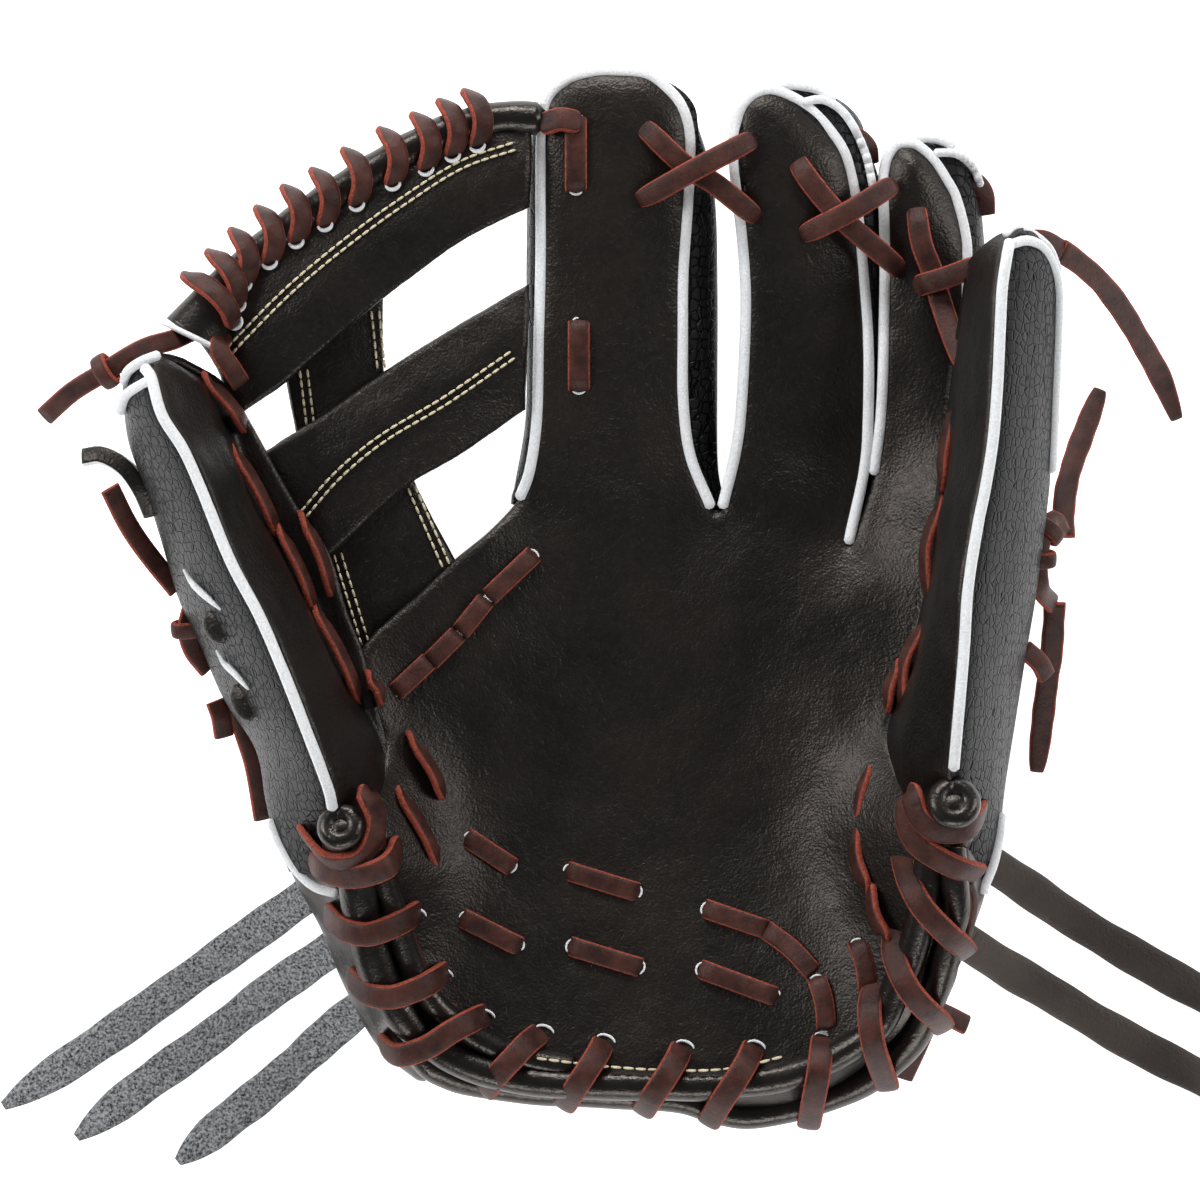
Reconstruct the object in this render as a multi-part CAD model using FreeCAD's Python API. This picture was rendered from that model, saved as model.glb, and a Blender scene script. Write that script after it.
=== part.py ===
"""Infield fielder's glove, palm up on its back: +Y to the fingertips, -X to the thumb, +Z up, millimetres."""
import FreeCAD, Part
import math
import os

os.makedirs("parts", exist_ok=True)
V = FreeCAD.Vector

# ---- driving dimensions ----
SHIFT_X = 2.7            # brings the middle of the glove's box to x = 0
SHIFT_Y = 0.5            # the same for y
LEATHER = 3.0            # shell leather with its backing
FELT = 4.0               # padding between palm leather and liner
LINER = 2.0              # soft inner leather
GAP = 0.4                # air between neighbouring pieces
WELT = 2.6               # side of the white welting
LACE_WIDE = 6.3          # quarter-inch lace
LACE_THICK = 2.0
ROLL_FRONT_R = 4.2       # rolled edge of the palm leather at the heel
ROLL_BACK_R = 4.3        # rolled edge of the lining at the heel
WEB_ROLL_R = 4.6         # rolled top edge of the web
STRAP_WIDE = 10.5        # tie straps at the wrist
STRAP_THICK = 1.8

# ---- rails: (x, y, z) from the fingertip end to the heel end ----
INDEX = {
    "left": [(-15.3, 138, 58), (-16.5, 110, 55), (-17.1, 73, 48), (-17.7, 50, 43), (-20.5, 29, 38)],
    "right": [(25.0, 138, 57), (24.5, 111, 55), (23.2, 91, 51), (23.3, 56, 43), (27.5, 29, 38)],
    "side": [(29.7, 138, 46), (32.0, 111, 42), (32.6, 84, 36), (32.8, 42, 28), (33.0, 29, 26)],
    "low": [(0, 138, 30), (0, 90, 20), (0, 29, 7)],
    "tip": 147.0,
    "welt_inset": 2.2,
}
MIDDLE = {
    "left": [(37.0, 134, 56), (38.5, 111, 54), (40.8, 80, 48), (39.8, 56, 43), (36.5, 29, 38)],
    "right": [(66.0, 134, 53), (71.5, 111, 50), (75.1, 73, 44), (75.2, 50, 41), (72.6, 29, 38)],
    "side": [(74.6, 134, 42), (78.1, 111, 38), (79.0, 85, 32), (78.4, 56, 28), (75.6, 29, 26)],
    "low": [(0, 134, 28), (0, 90, 19), (0, 29, 7)],
    "tip": 143.0,
    "welt_inset": 2.2,
}
RING = {
    "left": [(82.2, 120, 49), (82.4, 98, 46), (82.2, 76, 43), (81.6, 53, 41), (79.4, 29, 38)],
    "right": [(97.5, 120, 46), (101.0, 103, 45), (99.0, 67, 43), (95.0, 45, 41), (91.5, 29, 38)],
    "side": [(105.0, 120, 38), (108.2, 105, 34), (107.5, 68, 30), (101.0, 45, 27), (96.0, 29, 26)],
    "low": [(0, 120, 24), (0, 90, 17), (0, 29, 7)],
    "tip": 129.0,
    "welt_inset": 1.3,   # its left welt stands this far outside the rail, clear of the middle finger's
}
THUMB = {
    "crest": [(-120.5, 66, 88), (-119.0, 50, 90), (-108.1, 30, 90), (-94.5, 0, 90), (-78.6, -38, 89), (-72.8, -56, 84)],
    "crease": [(-110.5, 66, 59), (-98.5, 33, 56), (-83.0, 0, 53), (-67.5, -28, 51), (-55.3, -56, 50)],
    "outer": [(-131.5, 66, 70), (-130.9, 44, 62), (-122.9, 18, 50), (-111.3, -14, 42), (-96.4, -42, 43), (-90.5, -56, 47)],
    "low": [(-124.0, 66, 52), (-117.0, 30, 30), (-104.0, 0, 17), (-92.0, -30, 12), (-82.0, -56, 14)],
    "ends": (-54.0, 69.0),
}
PINKY = {
    "crest": [(110.9, 99, 89), (109.0, 80, 91), (108.1, 58, 91), (104.8, 30, 91), (100.2, 0, 91), (97.7, -30, 90), (95.6, -52, 85)],
    "crease": [(104.6, 99, 62), (101.5, 72, 57), (99.0, 45, 52), (93.5, 0, 50), (85.0, -28, 50), (77.0, -52, 51)],
    "outer": [(124.3, 99, 72), (126.0, 75, 64), (125.4, 36, 55), (119.5, -14, 45), (113.6, -50, 47)],
    "low": [(118.5, 99, 52), (117.5, 60, 36), (114.0, 30, 25), (107.0, 0, 17), (98.0, -50, 14)],
    "ends": (-54.0, 103.0),
}
STALL_END = -59.0        # the side stalls end above this, and the palm runs out to the heel rolls below it
HEEL_LEFT = [(-66.0, -62), (-59.0, -73), (-52.5, -89), (-45.0, -102), (-33.0, -112), (-15.0, -121)]
HEEL_RIGHT = [(87.0, -62), (84.0, -72), (79.0, -90), (71.0, -107), (60.0, -118), (39.0, -124)]
ROLL_FRONT = [(-68.4, -62.8, 74), (-65.8, -74.6, 69), (-59.6, -91.6, 62), (-51.5, -107, 57), (-39, -119.8, 54),
              (-16.7, -129, 51), (11.2, -132.4, 50), (39.1, -131.8, 50), (64.1, -124.9, 53), (77.9, -111.2, 58),
              (86.5, -91.5, 64), (91.7, -73.2, 70), (94.8, -62, 74)]
ROLL_BACK = [(-74.8, -66.5, 67), (-72.0, -82, 60), (-66.5, -99.5, 52), (-57.5, -115.5, 47), (-44, -127.5, 44),
             (-20, -136.5, 40), (7, -140.5, 38), (28.5, -143, 37), (47, -145.5, 37), (69, -139, 42),
             (84.5, -124, 49), (93.5, -106, 56), (100.5, -84, 63), (103.3, -72, 67)]
WEB_ROLL = [(-22, 132.5, 58), (-34, 132, 58), (-47, 128, 58), (-62, 120.5, 58), (-80.5, 109, 58), (-95, 98, 58),
            (-107, 87, 58), (-115, 78, 58)]
TOP_BAR = [(-21.5, 124), (-33, 124.2), (-45, 120), (-60, 112), (-77, 101), (-90, 90.5), (-101.5, 80),
           (-107.5, 74), (-99, 54), (-88, 60), (-60.5, 83.3), (-37.2, 100.3), (-21.5, 108.5)]
LOWER_BAR = [(-23.5, 87.5), (-60.5, 64), (-78.6, 51), (-90, 43), (-82.5, 23.7), (-74.5, 13.2), (-51.7, 33),
             (-39.4, 40), (-23.5, 52.3)]


def shifted(points):
    return [V(x + SHIFT_X, y + SHIFT_Y, z) for x, y, z in points]


def save(name, *solids):
    shape = solids[0] if len(solids) == 1 else Part.makeCompound(list(solids))
    for solid in shape.Solids:
        if not solid.isValid() or solid.Volume <= 0:
            print("BAD SOLID in", name)
    shape.exportStep(os.path.join("parts", name + ".step"))
    print(f"{name}: {len(shape.Solids)} solids, {shape.Volume:.0f} mm3")


def at(rail, y):
    """The rail's (x, z) at a given y, between or beyond its points."""
    pairs = list(zip(rail, rail[1:]))
    for a, b in pairs:
        if y >= b[1]:
            break
    t = (y - a[1]) / (b[1] - a[1])
    return a[0] + t * (b[0] - a[0]), a[2] + t * (b[2] - a[2])


def ruled(sections):
    """A closed solid through polygons that all have the same number of corners."""
    wires = []
    for points in sections:
        corners = shifted(points)
        wires.append(Part.makePolygon(corners + corners[:1]))
    return Part.makeLoft(wires, True, True)


def offset(path, depth):
    """An open (x, z) path moved sideways by depth, to the right of its direction."""
    moved = []
    for i, (x, z) in enumerate(path):
        ax, az = path[max(i - 1, 0)]
        bx, bz = path[min(i + 1, len(path) - 1)]
        length = math.hypot(bx - ax, bz - az)
        moved.append((x + depth * (bz - az) / length, z - depth * (bx - ax) / length))
    return moved


def strip_between(stations, path_at, depth_a, depth_b):
    """A curved wall between two depths of the same cross-section path."""
    sections = []
    for y in stations:
        path = path_at(y)
        near = offset(path, depth_a)
        far = offset(path, depth_b)
        sections.append([(x, y, z) for x, z in near + far[::-1]])
    return ruled(sections)


def plate(outline, low, high):
    """A flat piece with a plan outline, from one height to another."""
    corners = shifted([(x, y, low) for x, y in outline])
    face = Part.Face(Part.makePolygon(corners + corners[:1]))
    return face.extrude(V(0, 0, high - low))


def frames(points):
    """Unit tangents of a path, averaged at its inner points."""
    for i, p in enumerate(points):
        before = points[max(i - 1, 0)]
        after = points[min(i + 1, len(points) - 1)]
        yield p, (after - before).normalize()


def swept(points, section, up=V(0, 0, 1)):
    """A section of (side, up) offsets carried along a path by straight ruled spans."""
    wires = []
    for p, tangent in frames(shifted(points)):
        side = tangent.cross(up).normalize()
        lift = side.cross(tangent)
        corners = [p + side * a + lift * b for a, b in section]
        wires.append(Part.makePolygon(corners + corners[:1]))
    return Part.makeLoft(wires, True, True)


def circle_section(radius, sides=12):
    turns = [2 * math.pi * i / sides for i in range(sides)]
    return [(radius * math.cos(t), radius * math.sin(t)) for t in turns]


def bar_section(wide, thick):
    return [(-wide / 2, 0), (wide / 2, 0), (wide / 2, thick), (-wide / 2, thick)]


def along(points, share):
    """The point and tangent at a share of a path's length."""
    runs = [(b - a).Length for a, b in zip(points, points[1:])]
    left = share * sum(runs)
    for a, b, run in zip(points, points[1:], runs):
        if left <= run:
            break
        left -= run
    direction = (b - a).normalize()
    return a + direction * left, direction


def stadium(a, b, radius, direction, steps=8):
    """The wire round two parallel rolls, in the plane across them."""
    across = b - a
    across = across - direction * across.dot(direction)
    far = a + across
    out = across.normalize() if across.Length > 0.1 else V(0, 0, 1)
    side = direction.cross(out)
    corners = []
    for centre, start in ((far, -90), (a, 90)):
        for i in range(steps + 1):
            turn = math.radians(start + 180 * i / steps)
            corners.append(centre + (out * math.cos(turn) + side * math.sin(turn)) * radius)
    return Part.makePolygon(corners + corners[:1])


def lace_ring(a, b, radius, direction):
    """One turn of flat lace round one or two rolls."""
    a = a - direction * (LACE_WIDE / 2)
    b = b - direction * (LACE_WIDE / 2)
    outer = Part.Face(stadium(a, b, radius + GAP + LACE_THICK, direction)).extrude(direction * LACE_WIDE)
    inner = Part.Face(stadium(a, b, radius + GAP, direction)).extrude(direction * LACE_WIDE)
    return outer.cut(inner)


def palm_edges(y):
    """Left and right ends of the palm sheet at y, each with its height."""
    if y > -13:
        left = (at([(-22.5, 28, 41), (-46.5, 8, 43), (-67.0, -13, 47)], y))
    elif y > STALL_END:
        x, z = at(THUMB["crease"], y)
        left = (x + 2.5, z - 1)
    else:
        x, z = at([(px, py, 0) for px, py in HEEL_LEFT], y)
        left = (x, 50)
    if y > STALL_END:
        x, z = at(PINKY["crease"], y)
        right = (x - 2.5, z - 1)
    else:
        x, z = at([(px, py, 0) for px, py in HEEL_RIGHT], y)
        right = (x, 50)
    return left, right


def pocket_depth(y):
    return at([(5, 28, 0), (13, -30, 0), (12, -70, 0), (4, -110, 0), (1, -121, 0)], y)[0]


PALM_STATIONS = [-121, -118, -112, -102, -89, -73, -62, -58, -43, -28, -13, 0, 14, 28]


def palm_path(y, columns=10):
    (x0, z0), (x1, z1) = palm_edges(y)
    path = []
    for i in range(columns + 1):
        t = i / columns
        path.append((x0 + t * (x1 - x0), z0 + t * (z1 - z0) - pocket_depth(y) * 4 * t * (1 - t)))
    return path


def palm_layer(top, bottom, stations=PALM_STATIONS, first=0, last=10):
    sections = []
    for y in stations:
        path = palm_path(y)[first:last + 1]
        upper = [(x, y, z - top) for x, z in path]
        lower = [(x, y, z - bottom) for x, z in path]
        sections.append(upper + lower[::-1])
    return ruled(sections)


def palm():
    felt_top = LEATHER + GAP
    liner_top = felt_top + FELT + GAP
    save("palm_leather", palm_layer(0, LEATHER))
    save("palm_felt", palm_layer(felt_top, felt_top + FELT, PALM_STATIONS[5:], 1, 9))
    save("heel_pad", palm_layer(felt_top, felt_top + FELT + 2, PALM_STATIONS[1:5], 1, 9))
    save("palm_liner", palm_layer(liner_top, liner_top + LINER, PALM_STATIONS[5:], 1, 9))


def shrink(points, centre, factor):
    cx, cz = centre
    return [(cx + (x - cx) * factor, cz + (z - cz) * factor) for x, z in points]


def finger_front_path(rails, y):
    xl, zl = at(rails["left"], y)
    xr, zr = at(rails["right"], y)
    return [(xl, zl), (0.7 * xl + 0.3 * xr, max(zl, zr) + 1.5), (0.3 * xl + 0.7 * xr, max(zl, zr) + 1.5), (xr, zr)]


def finger_wall_path(rails, y):
    """Round the back of a finger stall, from its right welt under to its left welt."""
    xl, zl = at(rails["left"], y)
    xr, zr = at(rails["right"], y)
    xo, zo = at(rails["side"], y)
    low = at(rails["low"], y)[1]
    corner = min(7.0, 0.32 * (xo - xl))
    return [(xr + 0.5, zr - 4.6), (xo, zo), (xo - 1, low + 6), (xo - corner, low), (xl + corner, low), (xl + 1, low + 6),
            (xl, zl - 4.6)]


def tip_factor(rails, y):
    start = rails["left"][0][1] - 6
    if y <= start:
        return 1.0
    return max(0.45, math.sqrt(max(0.0, 1 - ((y - start) / (rails["tip"] + 1.5 - start)) ** 2)))


def finger(name, rails):
    end = rails["left"][0][1]
    tip = rails["tip"]
    stations = [28.6, 50, 73, 92, 111, end - 6, end, (end + tip) / 2, tip]

    def centre(y):
        xl, zl = at(rails["left"], y)
        xo, zo = at(rails["side"], y)
        return (xl + xo) / 2, (zl + at(rails["low"], y)[1]) / 2

    def front(y):
        return shrink(finger_front_path(rails, y), centre(y), tip_factor(rails, y))

    def wall(y):
        return shrink(finger_wall_path(rails, y), centre(y), tip_factor(rails, y))

    save(name + "_front", strip_between(stations, front, 0, LEATHER))
    walls = strip_between(stations, wall, 0, LEATHER)
    cap = ruled([[(x, y, z) for x, z in shrink(wall(tip), centre(tip), 1.0)] for y in (tip, tip + 1.5)])
    save(name + "_back", walls.fuse(cap))

    def lining(y):
        path = front(y)
        middle = 0.5 * (path[0][0] + path[-1][0])
        narrower = 1 - 2 * (LEATHER + 1.5) / (path[-1][0] - path[0][0])
        low = min(path[0][1], path[-1][1])
        return [(middle + (x - middle) * narrower, low + 0.2 * (z - low)) for x, z in path]

    lining_stations = [32, 50, 73, 92, 111, end - 6]
    save(name + "_lining", strip_between(lining_stations, lining, LEATHER + GAP, LEATHER + GAP + LINER))
    inset = rails["welt_inset"]
    edge = [(at(rails["left"], y)[0] - inset, y, at(rails["left"], y)[1] - 1) for y in (31, 50, 73, 92, 111, end - 6)]
    right = [(at(rails["right"], y)[0] + 1.9, y, at(rails["right"], y)[1] - 0.5) for y in (end - 6, 111, 92, 73, 50, 31)]
    mid_x = (edge[-1][0] + right[0][0]) / 2
    half = (right[0][0] - edge[-1][0]) / 2
    rise = tip + 2.4 - (end - 6)
    arch = []
    for i in range(1, 8):
        turn = math.pi * i / 8
        arch.append((mid_x - half * math.cos(turn), end - 6 + rise * math.sin(turn), edge[-1][2] + 0.5 * math.sin(turn)))
    save(name + "_welt", swept(edge + arch + right, circle_section(WELT / 2, 8)))


def flap_inner_path(rails, y, side):
    """The inner face of the thumb or little-finger stall, from its crease up to its crest."""
    kx, kz = at(rails["crease"], y)
    cx, cz = at(rails["crest"], y)
    kx = kx + side * 1.5
    bulge = 2.5
    return [(kx, kz), (0.55 * kx + 0.45 * cx - side * bulge, 0.55 * kz + 0.45 * cz + 1), (cx, cz)]


def flap_outer_path(rails, y, side):
    """Round the outside of the stall, from under its crest to under its crease."""
    kx, kz = at(rails["crease"], y)
    cx, cz = at(rails["crest"], y)
    ox, oz = at(rails["outer"], y)
    lx, lz = at(rails["low"], y)
    return [(cx + side * 5.5, cz - 4), (0.5 * (cx + ox) + side * 2.5, 0.5 * (cz + oz) + 4), (ox, oz),
            (0.5 * (ox + lx) + side * 1, 0.5 * (oz + lz) - 3), (lx + side * 2, lz + 2), (lx - side * 4, lz + 2),
            (kx + side * 5.5, kz - 5)]


def flap(name, rails, side):
    """A stall that stands up beside the palm and folds towards it; side is -1 for the thumb, +1 for the little finger."""
    low_end, high_end = rails["ends"]
    count = 8
    stations = [low_end + (high_end - 8 - low_end) * i / (count - 1) for i in range(count)] + [high_end - 3, high_end]

    def centre(y):
        ox, oz = at(rails["outer"], y)
        kx, kz = at(rails["crease"], y)
        return (ox + kx) / 2, (oz + kz) / 2 + 3

    def factor(y):
        return 1.0 if y <= high_end - 8 else max(0.5, math.sqrt(1 - ((y - high_end + 8) / 10) ** 2))

    def inner(y):
        return shrink(flap_inner_path(rails, y, side), centre(y), factor(y))

    def outer(y):
        return shrink(flap_outer_path(rails, y, side), centre(y), factor(y))

    facing = -side
    save(name + "_front", strip_between(stations, inner, 0, -facing * LEATHER))
    walls = strip_between(stations, outer, 0, facing * LEATHER * -1)
    cap = ruled([[(x, y, z) for x, z in outer(high_end)] for y in (high_end, high_end + 1.5)])
    save(name + "_back", walls.fuse(cap))
    felt = [y for y in stations if y <= high_end - 8]

    def padded(y):
        crease, middle, crest_point = inner(y)
        low = [crease[i] + 0.3 * (middle[i] - crease[i]) for i in (0, 1)]
        high = [middle[i] + 0.3 * (crest_point[i] - middle[i]) for i in (0, 1)]
        return [tuple(low), middle, tuple(high)]

    save(name + "_felt", strip_between(felt, padded, side * (LEATHER + GAP), side * (LEATHER + GAP + FELT)))
    crest = [(at(rails["crest"], y)[0] + side * 0.3, y, at(rails["crest"], y)[1] + 1.9) for y in felt[::-1]]
    save(name + "_welt", swept(crest, circle_section(WELT / 2, 8)))
    stitches = []
    for i in range(5):
        y = low_end + (high_end - low_end) * (0.12 + 0.17 * i)
        ends = [(at(rails["crease"], v)[0] - side * 0.5, v, at(rails["crease"], v)[1] + 3.2) for v in (y - 8, y, y + 8)]
        stitches.append(swept(ends, bar_section(LACE_THICK, LACE_THICK)))
    save(name + "_crease_lace", *stitches)


def heel():
    front = shifted(ROLL_FRONT)
    back = shifted(ROLL_BACK)
    save("heel_roll_front", swept(ROLL_FRONT, circle_section(ROLL_FRONT_R)))
    save("heel_roll_back", swept(ROLL_BACK, circle_section(ROLL_BACK_R)))
    count = 14
    rings = []
    for i in range(count):
        share = 0.04 + 0.92 * i / (count - 1)
        a, direction = along(front, share)
        b = along(back, share)[0]
        rings.append(lace_ring(a, b, ROLL_BACK_R, direction))
    save("heel_lace", *rings)
    pad_stitches = [((-37, -66), (-25, -76)), ((-9, -76), (11, -84)), ((-38, -88), (-22, -98)), ((-8, -96), (12, -104)),
                    ((28, -102), (49, -111)), ((30, -86), (45, -94)), ((48, -95), (60, -106))]
    save("heel_pad_lace", *[surface_bar(a, b) for a, b in pad_stitches])
    save("palm_web_lace", *[surface_bar(a, b) for a, b in [((-21, 10), (-31, 1)), ((-33, -1), (-45, -14)), ((-47, -16), (-57, -27))]])


def palm_height(x, y):
    path = palm_path(y)
    for (ax, az), (bx, bz) in zip(path, path[1:]):
        if x <= bx:
            break
    return az + (bz - az) * (x - ax) / (bx - ax)


def surface_bar(a, b):
    """A short run of lace lying on the palm."""
    ends = []
    for t in (0, 0.5, 1):
        x = a[0] + t * (b[0] - a[0])
        y = a[1] + t * (b[1] - a[1])
        ends.append((x, y, palm_height(x, y) + 1.9))
    return swept(ends, bar_section(LACE_WIDE, LACE_THICK))


def web():
    save("web_top_bar", plate(TOP_BAR, 56, 60))
    save("web_lower_bar", plate(LOWER_BAR, 50, 53.5))
    post = [(-74.5, 73, 47.5), (-68.5, 45, 43), (-61, 20, 37), (-54, 0, 33)]
    save("web_post", swept(post, bar_section(24, 3)))
    save("web_top_roll", swept(WEB_ROLL, circle_section(WEB_ROLL_R)))
    roll = shifted(WEB_ROLL)
    rings = []
    for i in range(11):
        a, direction = along(roll, 0.1 + 0.84 * i / 10)
        rings.append(lace_ring(a, a, WEB_ROLL_R, direction))
    save("web_wrap_lace", *rings)
    save("web_index_lace", swept([(0, 137, 61.8), (-2, 125, 61.5), (-3, 114, 60.5)], bar_section(LACE_WIDE, LACE_THICK)),
         swept([(-5, 79, 53.5), (-5, 68, 51)], bar_section(LACE_WIDE, LACE_THICK)))


def fingertip_laces():
    def cross(name, a, b, c, d):
        over = swept([a, ((a[0] + b[0]) / 2, (a[1] + b[1]) / 2, max(a[2], b[2]) + 3), b], bar_section(LACE_WIDE, LACE_THICK))
        under = swept([c, ((c[0] + d[0]) / 2, (c[1] + d[1]) / 2, max(c[2], d[2]) - 0.5), d], bar_section(LACE_WIDE, LACE_THICK))
        save(name, over, under)

    cross("index_middle_lace", (12, 111, 61.5), (40, 126, 61.5), (13, 129, 59.8), (41, 108, 58.5))
    cross("middle_ring_lace", (57, 102, 59), (80, 114, 58), (58, 117, 59.5), (81, 96, 55))
    cross("ring_little_lace", (88, 85, 50.5), (99, 89, 51), (88, 107, 51), (94, 93, 49.8))


def back():
    hand = [(-46, -58), (-40, -66), (62, -66), (70, -58), (84, 20), (84, 44), (-16, 44), (-22, 30), (-46, 0)]
    save("back_panel", plate(hand, 0, 4))
    save("back_lining", plate([(x * 0.9 + 2, y * 0.9) for x, y in hand], 4.3, 5.8))
    strap = [(-66, -78), (-62, -72), (84, -72), (92, -80), (84, -106), (70, -116), (-40, -116), (-54, -104)]
    save("wrist_strap", plate(strap, 0, 4))
    save("wrist_strap_lining", plate([(x * 0.92, y * 0.92 - 7) for x, y in strap], 4.3, 7))


# ---- loose laces and straps: every point of the route, from the exit to the bare end ----
STRAPS = {
    "tie_strap_left_1": [(-78, -80, 22), (-89, -88, 15), (-103, -98, 6), (-121, -111, 1.6), (-146, -129, 1.2), (-171, -145, 1.2)],
    "tie_strap_left_2": [(-73, -97, 19), (-83, -104, 12), (-96, -113, 4.5), (-112, -126, 1.4), (-131, -139, 1.2), (-150, -154, 1.2)],
    "tie_strap_left_3": [(-63, -112, 16), (-72, -119, 9), (-83, -129, 3.4), (-95, -140, 1.3), (-108, -150, 1.2), (-121, -161, 1.2)],
    "tie_strap_right_1": [(108, -73, 22), (119, -80, 14), (133, -90, 5.5), (151, -101, 1.5), (176, -115, 1.2), (200, -127, 1.2)],
    "tie_strap_right_2": [(104, -97, 19), (114, -104, 11), (128, -112, 4), (147, -124, 1.4), (172, -137, 1.2), (198, -149, 1.2)],
}
TAILS = {
    "lace_tail_little_tip": [(128, 97, 62), (137, 92, 52), (146, 83, 38), (154, 72, 23), (161, 62, 10), (165, 52, 4)],
    "lace_tail_little_upper": [(131, 18, 30), (131, 27, 24), (134, 38, 16), (139, 50, 9), (143, 60, 5)],
    "lace_tail_little_lower": [(128.5, -1, 28), (128.5, -13, 21), (127, -26, 14), (126, -38, 8), (125, -49, 4)],
}


def arc_route(points):
    """Straight runs joined by tangent arcs, each as large as its two runs allow."""
    edges = []
    radii = []
    start = points[0]
    for before, corner, after in zip(points, points[1:], points[2:]):
        a = (before - corner).normalize()
        b = (after - corner).normalize()
        turn = math.pi - a.getAngle(b)
        radius = 0.45 * min((before - corner).Length, (after - corner).Length) / math.tan(turn / 2)
        reach = radius * math.tan(turn / 2)
        first = corner + a * reach
        last = corner + b * reach
        middle = (a + b).normalize()
        bow = corner + middle * (radius / math.cos(turn / 2) - radius)
        edges.append(Part.LineSegment(start, first).toShape())
        edges.append(Part.Arc(first, bow, last).toShape())
        radii.append(radius)
        start = last
    edges.append(Part.LineSegment(start, points[-1]).toShape())
    return Part.Wire(edges), radii


def loose(name, points, wide, thick):
    path, radii = arc_route(shifted(points))
    first = path.Vertexes[0].Point
    direction = (path.Edges[0].Vertexes[-1].Point - first).normalize()
    side = direction.cross(V(0, 0, 1)).normalize()
    lift = side.cross(direction)
    corners = [first + side * a + lift * (b - thick / 2) for a, b in bar_section(wide, thick)]
    maker = Part.BRepOffsetAPI.MakePipeShell(path)
    maker.setBiNormalMode(V(0, 0, 1))
    maker.add(Part.makePolygon(corners + corners[:1]), False, False)
    maker.build()
    maker.makeSolid()
    solid = maker.shape()
    share = solid.Volume / (wide * thick * path.Length)
    print(f"{name}: length {path.Length:.1f}, volume share {share:.3f}, radii", [round(r, 1) for r in radii])
    if solid.BoundBox.ZMin < 0:
        print("below the ground:", name, solid.BoundBox.ZMin)
    save(name, solid)


palm()
finger("index", INDEX)
finger("middle", MIDDLE)
finger("ring", RING)
flap("thumb", THUMB, -1)
flap("little", PINKY, 1)
heel()
web()
fingertip_laces()
back()
for strap_name, route in STRAPS.items():
    loose(strap_name, route, STRAP_WIDE, STRAP_THICK)
for tail_name, route in TAILS.items():
    loose(tail_name, route, LACE_WIDE, LACE_THICK)
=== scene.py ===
"""An infield glove lying palm up: leather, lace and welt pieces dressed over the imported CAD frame."""

import math

import bmesh
import bpy
import numpy as np
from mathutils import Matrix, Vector, kdtree, noise


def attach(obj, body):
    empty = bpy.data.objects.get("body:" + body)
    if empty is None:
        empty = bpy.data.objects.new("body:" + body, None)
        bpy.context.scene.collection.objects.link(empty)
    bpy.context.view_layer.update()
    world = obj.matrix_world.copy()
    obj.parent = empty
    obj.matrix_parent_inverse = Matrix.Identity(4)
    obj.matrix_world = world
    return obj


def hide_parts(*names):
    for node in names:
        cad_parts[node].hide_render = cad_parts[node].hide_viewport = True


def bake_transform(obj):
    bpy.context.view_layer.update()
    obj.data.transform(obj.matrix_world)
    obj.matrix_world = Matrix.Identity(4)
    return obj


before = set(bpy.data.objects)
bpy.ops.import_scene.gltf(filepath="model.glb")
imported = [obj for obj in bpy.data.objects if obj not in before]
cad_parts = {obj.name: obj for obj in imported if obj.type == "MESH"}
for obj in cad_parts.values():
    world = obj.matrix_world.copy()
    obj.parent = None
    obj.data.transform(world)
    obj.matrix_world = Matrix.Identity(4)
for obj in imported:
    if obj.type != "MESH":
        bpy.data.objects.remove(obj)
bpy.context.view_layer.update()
scene = bpy.context.scene

# Every table below is in the glove's own millimetres, x to its little finger, y to its fingertips and z up.
# SHIFT moves them to the shared frame.
SHIFT = np.array((2.7, 0.5, 0.0))
MM = 0.001
PER_METRE = 1000.0
UP = np.array((0.0, 0.0, 1.0))
LACE_WIDE = 6.3
LACE_THICK = 2.0
LOOP_THICK = 2.3
STRAP_WIDE = 10.5
STRAP_THICK = 1.8
WELT_RADIUS = 1.55
WELT_FLATNESS = 0.85
CAMERA_HEIGHT = 1.9
SENSOR = 36.0
LENS = 198.75


def metres(points):
    """Glove millimetres to metres in the shared frame."""
    return (np.asarray(points, float) + SHIFT) * MM


# ---------------------------------------------------------------- camera


def make_camera():
    """A camera straight above the glove's origin, looking down."""
    data = bpy.data.cameras.new("camera")
    data.sensor_width = SENSOR
    data.lens = LENS
    data.clip_start = 0.1
    data.clip_end = 10.0
    camera = bpy.data.objects.new("camera", data)
    camera.location = (SHIFT[0] * MM, SHIFT[1] * MM, CAMERA_HEIGHT)
    scene.collection.objects.link(camera)
    scene.camera = camera


# ---------------------------------------------------------------- lines and meshes


def unit(v):
    """Vectors scaled to a length of one."""
    v = np.asarray(v, float)
    return v / np.maximum(np.linalg.norm(v, axis=-1, keepdims=True), 1e-9)


def resample(line, count):
    """The same line with points evenly spaced by length."""
    steps = np.linalg.norm(np.diff(line, axis=0), axis=1)
    run = np.concatenate([[0.0], np.cumsum(steps)])
    wanted = np.linspace(0, run[-1], count)
    return np.stack([np.interp(wanted, run, line[:, k]) for k in range(line.shape[1])], 1)


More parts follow.
